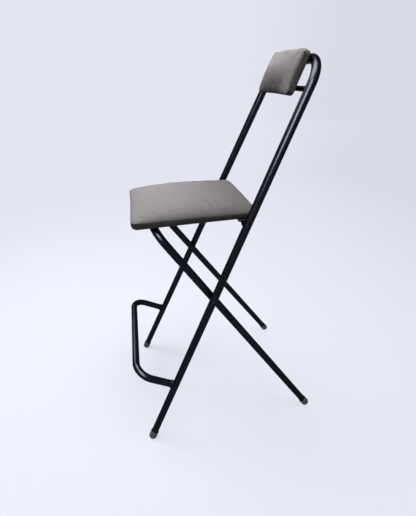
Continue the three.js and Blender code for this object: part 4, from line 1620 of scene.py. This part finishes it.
def pad_mesh(name, shape, spacing, clear_of_metal, hang=0.0):
    """Builds a cushion. Its hem is thick, and hangs at the front, where clear_of_metal leaves room."""
    pads = shape.pads
    mesh = PadMesh(shape, spacing, shape.height)
    seam = shape.side
    for inset, drop in SEAM_RINGS:
        mesh.ring(inset * pads.seam_depth, lambda s, t, height=seam - drop: height)
    rounding = pads.hem_rounding
    band_high = seam - SEAM_RINGS[-1][1]
    band_low = rounding - HEM_THICKNESS
    for step in range(1, BAND_STEPS + 1):
        height = band_high + (band_low - band_high) * step / BAND_STEPS
        mesh.ring(0.0, lambda s, t, height=height: height)

    def hem_height(s, t, inset):
        room = clear_of_metal(*shape.at(s, t, inset))
        full = HEM_THICKNESS + hang * (1 - t) / 2
        return -min(full, HEM_PRESSED + max(0.0, room - HEM_CLEARANCE) * HEM_SLOPE)

    for step in range(1, HEM_STEPS + 1):
        turn = math.pi / 2 * step / HEM_STEPS
        inset = rounding * (1 - math.cos(turn))
        mesh.ring(inset, lambda s, t, inset=inset, rise=math.sin(turn): (
            band_low + (hem_height(s, t, inset) - band_low) * rise))
    for part in HEM_PARTS:
        inset = rounding + (pads.hem_width - rounding) * part
        mesh.ring(inset, lambda s, t, inset=inset: hem_height(s, t, inset))
    pocket = pads.board_cover - FIT
    ceiling = pads.board_thickness + FIT
    for inset, height in ((pads.hem_width, HEM_LIP), (pocket, HEM_LIP), (pocket, ceiling)):
        mesh.ring(inset, lambda s, t, height=height: height)
    mesh.bridge(mesh.grid(lambda s, t: ceiling, pocket + POCKET_EASE, True))
    return new_object(name, mesh.vertices, mesh.faces)


def pad_block(name, shape, shrink):
    """The plain closed block that the cloth is blown up from, a little lower than the pad."""
    block = PadMesh(shape, BLOCK_SPACING, lambda s, t: shape.height(s, t) - shrink * shape.fullness(s, t))
    block.bridge(block.grid(lambda s, t: 0.0, 0.0, True))
    return new_object(name, block.vertices, block.faces)


def swell(shape, limit):
    """Blows up a coarse copy of a pad as cloth and returns rest places and their movement."""
    blank = pad_block("pad_blank", shape, CLOTH_START)
    remesh = blank.modifiers.new("Remesh", "REMESH")
    remesh.mode = "VOXEL"
    remesh.voxel_size = CLOTH_VOXEL
    blank = baked(blank)
    rest = np.array([tuple(vertex.co) for vertex in blank.data.vertices])
    held = blank.vertex_groups.new(name="held")
    for vertex in blank.data.vertices:
        hold = 1 - (vertex.co.z - shape.side) / CLOTH_RELEASE
        if hold > 0:
            held.add([vertex.index], min(1.0, hold), "REPLACE")
    cloth = blank.modifiers.new("Cloth", "CLOTH")
    for setting, value in CLOTH_SETTINGS.items():
        setattr(cloth.settings, setting, value)
    cloth.settings.effector_weights.gravity = 0
    scene = bpy.context.scene
    for step in range(1, CLOTH_FRAMES + 1):
        scene.frame_set(step)
    evaluated = blank.evaluated_get(bpy.context.evaluated_depsgraph_get())
    moved = np.array([tuple(vertex.co) for vertex in evaluated.data.vertices])
    scene.frame_set(1)
    bpy.data.objects.remove(blank)
    move = moved - rest
    size = np.linalg.norm(move, axis=1, keepdims=True)
    return rest, move * np.minimum(1.0, limit / np.maximum(size, 1e-9))


def follow(thing, shape, rest, move):
    """Carries the cloth's movement over to the fine mesh, fading out down to the seam."""
    tree = kdtree.KDTree(len(rest))
    for i, point in enumerate(rest):
        tree.insert(point, i)
    tree.balance()
    top = move[rest[:, 2] > shape.side + CROWN_TOP * shape.crown - CLOTH_START]
    rise = float(np.median(top[:, 2]))
    for vertex in thing.data.vertices:
        above = vertex.co.z - shape.side
        if above <= 0:
            continue
        near = tree.find_n(vertex.co, NEIGHBOURS)
        weights = [1 / (distance + NEIGHBOUR_REACH) ** 2 for _, _, distance in near]
        shift = sum((move[i] * weight for (_, i, _), weight in zip(near, weights)), np.zeros(3))
        shift = shift / sum(weights) * CLOTH_SHARE
        shift[2] -= rise * CLOTH_SHARE * above / shape.crown
        vertex.co += Vector(shift * min(1.0, above / SEAM_FADE))


def gather(thing, shape):
    """Raises soft folds that fan out over the face from each corner."""
    corners = {(s, t): shape.at(s, t) for s, t in GATHERS}
    for vertex in thing.data.vertices:
        above = vertex.co.z - shape.side
        if above <= 0:
            continue
        for (s, t), (folds, turn) in GATHERS.items():
            across = s * (corners[s, t][0] - vertex.co.x)
            along = t * (corners[s, t][1] - vertex.co.y)
            far = math.hypot(across, along) / GATHER_REACH
            fan = math.cos(folds * (math.atan2(along, across) - turn))
            lift = GATHER_DEPTH * far * math.exp(1 - far) * fan
            vertex.co.z += lift * min(1.0, above / SEAM_FADE)


def eased(value, start, end):
    """0 at the start, 1 at the end, and a smooth run between."""
    run = max(0.0, min(1.0, (value - start) / (end - start)))
    return run * run * (3 - 2 * run)


def paint_shade(thing, shape, dark_end, light_from, corner=1.0, rim=0.0):
    """Stores painted shade and light as a value per point, 0 for the shaded tone and 1 for the lit tone.
    Both ends are shares of a pad's length.

    Past the corner's share of its half width, on the +U side, painted light for the lit ridge of a fold
    reaches right to the end.
    The rim's share is how much painted shade darkens the cloth beside the seam, where the shoulder turns
    from the light.
    """
    painted_shade = thing.data.attributes.new(SHADE_ATTRIBUTE, "FLOAT", "POINT")
    for vertex, value in zip(thing.data.vertices, painted_shade.data):
        along = ((vertex.co.y - shape.middle) / shape.half_v + 1) / 2
        light = eased(along, dark_end, light_from)
        if corner < 1:
            lit = eased(vertex.co.x / shape.half_u, corner, corner + CORNER_FADE)
            light = max(light, PAINTED_CORNER_LIGHT * lit)
        # painted shade beside the seam
        darkened = rim * math.exp(-max(0.0, vertex.co.z - shape.side) / SHADED_RIM_FADE)
        value.value = light * (1 - darkened)


def fill(cushion, shape, place, **nap):
    """Swells and gathers a cushion, paints its shade and light, and moves it to its place."""
    follow(cushion, shape, *swell(shape, CLOTH_LIMIT))
    gather(cushion, shape)
    paint_shade(cushion, shape, **nap)
    cushion.data.transform(place)
    shade(cushion, PAD_CREASE)


class STOOL_OT_seat_cushion(StoolOperator, bpy.types.Operator):
    """Sews and fills the seat cushion over its board"""

    bl_idname = "stool.seat_cushion"
    bl_label = "Seat Cushion"

    def execute(self, context):
        sizes, pads = self.sizes(context)
        low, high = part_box("seat_cushion")
        shape = PadShape(
            (high.x, high.x), (low.y, high.y), pads.seat_corner, pads.seat_draw_in, pads.seat_side,
            pads.seat_crown,
            ((pads.seat_edge_across, pads.seat_fade_across), (pads.seat_edge_along, pads.seat_fade_along)),
            pads.seat_lean, pads,
        )
        hinge = SeatHinge(sizes)
        bar = crossbar(sizes)

        def clear_of_plates(u, v):
            flange = max(hinge.ear_outer - FLANGE_WIDTH - abs(u), HINGE.y - FLANGE_FRONT - v)
            strap = max(abs(abs(u) - CATCH_SPACING) - CATCH_WIDTH / 2, v - bar.y - CATCH_FLANGE)
            return max(0.0, min(flange, strap))

        cushion = pad_mesh("seat_pad", shape, SEAT_SPACING, clear_of_plates, pads.seat_hang)
        place = Matrix.Translation((0, 0, seat_underside()))
        # painted shade: the seat is darker towards its rear and beside its seam
        fill(cushion, shape, place, dark_end=1.10, light_from=0.24, rim=0.42)
        finish_piece(cushion, "upholstery", "seat", ["seat_cushion"])
        return {"FINISHED"}


def back_pad_matrix(sizes):
    """Turns a pad's U, V and height to the main frame, lying flat against its front."""
    place = main_place(sizes)
    rear = -sizes.tube_diameter / 2 - FIT
    return place.matrix @ Matrix.Translation((0, rear, 0)) @ Matrix.Rotation(math.pi / 2, 4, "X")


class STOOL_OT_back_cushion(StoolOperator, bpy.types.Operator):
    """Sews and fills the back pad's cushion over its board"""

    bl_idname = "stool.back_cushion"
    bl_label = "Back Cushion"

    def execute(self, context):
        sizes, pads = self.sizes(context)
        shape = PadShape(
            (pads.pad_low_half, pads.pad_high_half), (pads.pad_top - pads.pad_height, pads.pad_top),
            pads.pad_corner, pads.pad_draw_in, pads.pad_side, pads.pad_crown,
            ((pads.pad_edge_across, pads.pad_fade_across), (pads.pad_edge_along, pads.pad_fade_along)),
            pads.pad_lean, pads,
        )

        def clear_of_bars(u, v):
            top = abs(v - sizes.back_reach) - TOP_BAR_CONTACT
            low = abs(v - sizes.back_bar_reach) - LOW_BAR_CONTACT
            return max(0.0, min(top, low))

        cushion = pad_mesh("back_pad", shape, BACK_SPACING, clear_of_bars)
        # painted shade: the back pad is darker towards its bottom, with painted light at its lower +U
        # corner
        fill(cushion, shape, back_pad_matrix(sizes), dark_end=0.12, light_from=0.66, corner=0.46)
        finish_piece(cushion, "upholstery", "main_frame", ["backrest_cushion"])
        return {"FINISHED"}


class STOOL_OT_boards(StoolOperator, bpy.types.Operator):
    """Gives the two plywood boards their birch face"""

    bl_idname = "stool.boards"
    bl_label = "Boards"

    def execute(self, context):
        for name in ("seat_board", "backrest_board"):
            board = frame["nodes"][name]
            board.data.materials.clear()
            board.data.materials.append(MATERIALS["plywood"])
        return {"FINISHED"}


# Stage

def camera_matrix(stage):
    turn, pitch, roll = stage.camera_turn, stage.camera_pitch, stage.camera_roll
    ahead = Vector((math.cos(pitch) * math.cos(turn), math.cos(pitch) * math.sin(turn), -math.sin(pitch)))
    right = ahead.cross(Vector((0, 0, 1))).normalized()
    up = right.cross(ahead)
    rolled_right = math.cos(roll) * right + math.sin(roll) * up
    rolled_up = math.cos(roll) * up - math.sin(roll) * right
    turned = Matrix((rolled_right, rolled_up, -ahead)).transposed().to_4x4()
    return Matrix.Translation(stage.camera_place) @ turned


def seen_directly(graph):
    """1 for rays that show the backdrop: from the camera, a reflection or through glass."""
    paths = [graph.node("ShaderNodeLightPath", output=name) for name in
             ("Is Camera Ray", "Is Glossy Ray", "Is Transmission Ray")]
    return paths[0].math("MAXIMUM", paths[0].math("MAXIMUM", paths[0], paths[1]), paths[2])


def floor_material(stage):
    """Pale seamless floor with a painted pool of light in front of the stool and painted shade towards +Y:
    it keeps soft shadows, and throws little light back on the stool.
    """
    finish = Finish("stage_floor")
    # painted shade towards +Y, and a painted pool of light round the pool centre
    aside = finish.eased(finish.part(finish.place, "Y"), DIM_FROM, DIM_TO)
    outward = finish.node("ShaderNodeVectorMath", {"operation": "NORMALIZE"}, {0: finish.place})
    fan = finish.eased(finish.part(outward, "Y"), FAN_DIM_FROM, FAN_DIM_TO)
    centred = finish.node("ShaderNodeVectorMath", {"operation": "DISTANCE"},
                          {0: finish.place, 1: PAINTED_POOL_CENTRE}, output="Value")
    away = finish.eased(centred, 0.0, PAINTED_POOL_RADIUS)
    dimmed = aside.math("MINIMUM", aside, fan)
    plain = finish.blend(dimmed, tuple(stage.horizon), tuple(stage.horizon_dim))
    shown = finish.blend(away, tuple(stage.floor), plain)
    lit = finish.node("ShaderNodeBsdfDiffuse", {}, {"Color": shown})
    glow = finish.node("ShaderNodeEmission", {}, {"Color": shown})
    keep = away * (1 - FLOOR_GLOW) + FLOOR_GLOW
    pale = finish.node("ShaderNodeMixShader", {}, {0: keep, 1: lit, 2: glow})
    dim = finish.node("ShaderNodeBsdfDiffuse", {}, {"Color": FLOOR_UNSEEN})
    mixed = finish.node("ShaderNodeMixShader", {}, {0: seen_directly(finish), 1: dim, 2: pale})
    finish.node("ShaderNodeOutputMaterial", {}, {"Surface": mixed})
    return finish.material


def make_world(stage):
    world = bpy.data.worlds.new("stage_world")
    world.use_nodes = True
    graph = Graph(world.node_tree)
    ahead = graph.node("ShaderNodeTexCoord", output="Generated")
    # painted shade: the backdrop dims towards +Y
    aside = graph.eased(graph.part(ahead, "Y"), SKY_DIM_FROM, SKY_DIM_TO)
    shown = graph.node("ShaderNodeMix", {"data_type": "RGBA"},
                       {0: aside, 6: (*stage.horizon, 1), 7: (*stage.horizon_dim, 1)}, output=2)
    pale = graph.node("ShaderNodeBackground", {}, {"Color": shown, "Strength": 1.0})
    fill = graph.node("ShaderNodeBackground", {}, {"Color": (1, 1, 1, 1), "Strength": stage.fill})
    mixed = graph.node("ShaderNodeMixShader", {}, {0: seen_directly(graph), 1: fill, 2: pale})
    graph.node("ShaderNodeOutputWorld", {}, {"Surface": mixed})
    bpy.context.scene.world = world


def area_lamp(name, place, size, watts):
    """A rectangular soft lamp aimed at the seat."""
    lamp = bpy.data.lights.new(name, "AREA")
    lamp.shape = "RECTANGLE"
    lamp.size, lamp.size_y = size
    lamp.energy = watts
    thing = linked(name, lamp)
    away = Vector(place) - Vector(LAMP_AIM)
    thing.matrix_world = Matrix.Translation(place) @ away.to_track_quat("Z", "Y").to_matrix().to_4x4()
    return thing


class STOOL_OT_stage(StoolOperator, bpy.types.Operator):
    """Sets up the floor, the backdrop, the lamps and the camera"""

    bl_idname = "stool.stage"
    bl_label = "Stage"

    def execute(self, context):
        stage = context.scene.stool_stage
        camera = bpy.data.cameras.new("stage_camera")
        camera.lens = stage.lens
        camera.sensor_width = SENSOR
        holder = linked("stage_camera", camera)
        holder.matrix_world = camera_matrix(stage)
        context.scene.camera = holder

        corners = [(x * FLOOR_HALF, y * FLOOR_HALF, -FLOOR_DROP)
                   for x, y in ((-1, -1), (1, -1), (1, 1), (-1, 1))]
        floor = new_object("stage_floor", corners, [(0, 1, 2, 3)])
        floor.data.materials.append(floor_material(stage))
        make_world(stage)
        for name, place, size, watts in SOFTBOXES:
            area_lamp(name, place, size, getattr(stage, watts))
        for name, place, size, watts in PANELS:
            area_lamp(name, place, size, getattr(stage, watts)).visible_diffuse = False
        context.scene.view_settings.view_transform = "Standard"
        return {"FINISHED"}


OPERATORS = (
    STOOL_OT_stage,
    STOOL_OT_materials,
    STOOL_OT_main_frame,
    STOOL_OT_rear_frame,
    STOOL_OT_foot_caps,
    STOOL_OT_pivots,
    STOOL_OT_hinge_pins,
    STOOL_OT_brackets,
    STOOL_OT_catches,
    STOOL_OT_screws,
    STOOL_OT_boards,
    STOOL_OT_seat_cushion,
    STOOL_OT_back_cushion,
)


class STOOL_PT_panel(bpy.types.Panel):
    """Lists the stool's steps and sizes in the sidebar."""

    bl_idname = "STOOL_PT_panel"
    bl_label = "Folding Bar Stool"
    bl_space_type = "VIEW_3D"
    bl_region_type = "UI"
    bl_category = "Stool"

    def draw(self, context):
        for operator in OPERATORS:
            self.layout.operator(operator.bl_idname)
        for attribute in GROUPS:
            group = getattr(context.scene, attribute)
            box = self.layout.box()
            for name in group.bl_rna.properties.keys():
                if name not in ("rna_type", "name"):
                    box.prop(group, name)


def register():
    for item in (*GROUPS.values(), *OPERATORS, STOOL_PT_panel):
        bpy.utils.register_class(item)
    for attribute, group in GROUPS.items():
        setattr(bpy.types.Scene, attribute, bpy.props.PointerProperty(type=group))


def unregister():
    for attribute in GROUPS:
        delattr(bpy.types.Scene, attribute)
    for item in (STOOL_PT_panel, *reversed(OPERATORS), *reversed(GROUPS.values())):
        bpy.utils.unregister_class(item)


def main():
    register()
    for operator in OPERATORS:
        getattr(bpy.ops.stool, operator.bl_idname.split(".")[1])()
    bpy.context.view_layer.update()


if __name__ == "__main__":
    main()
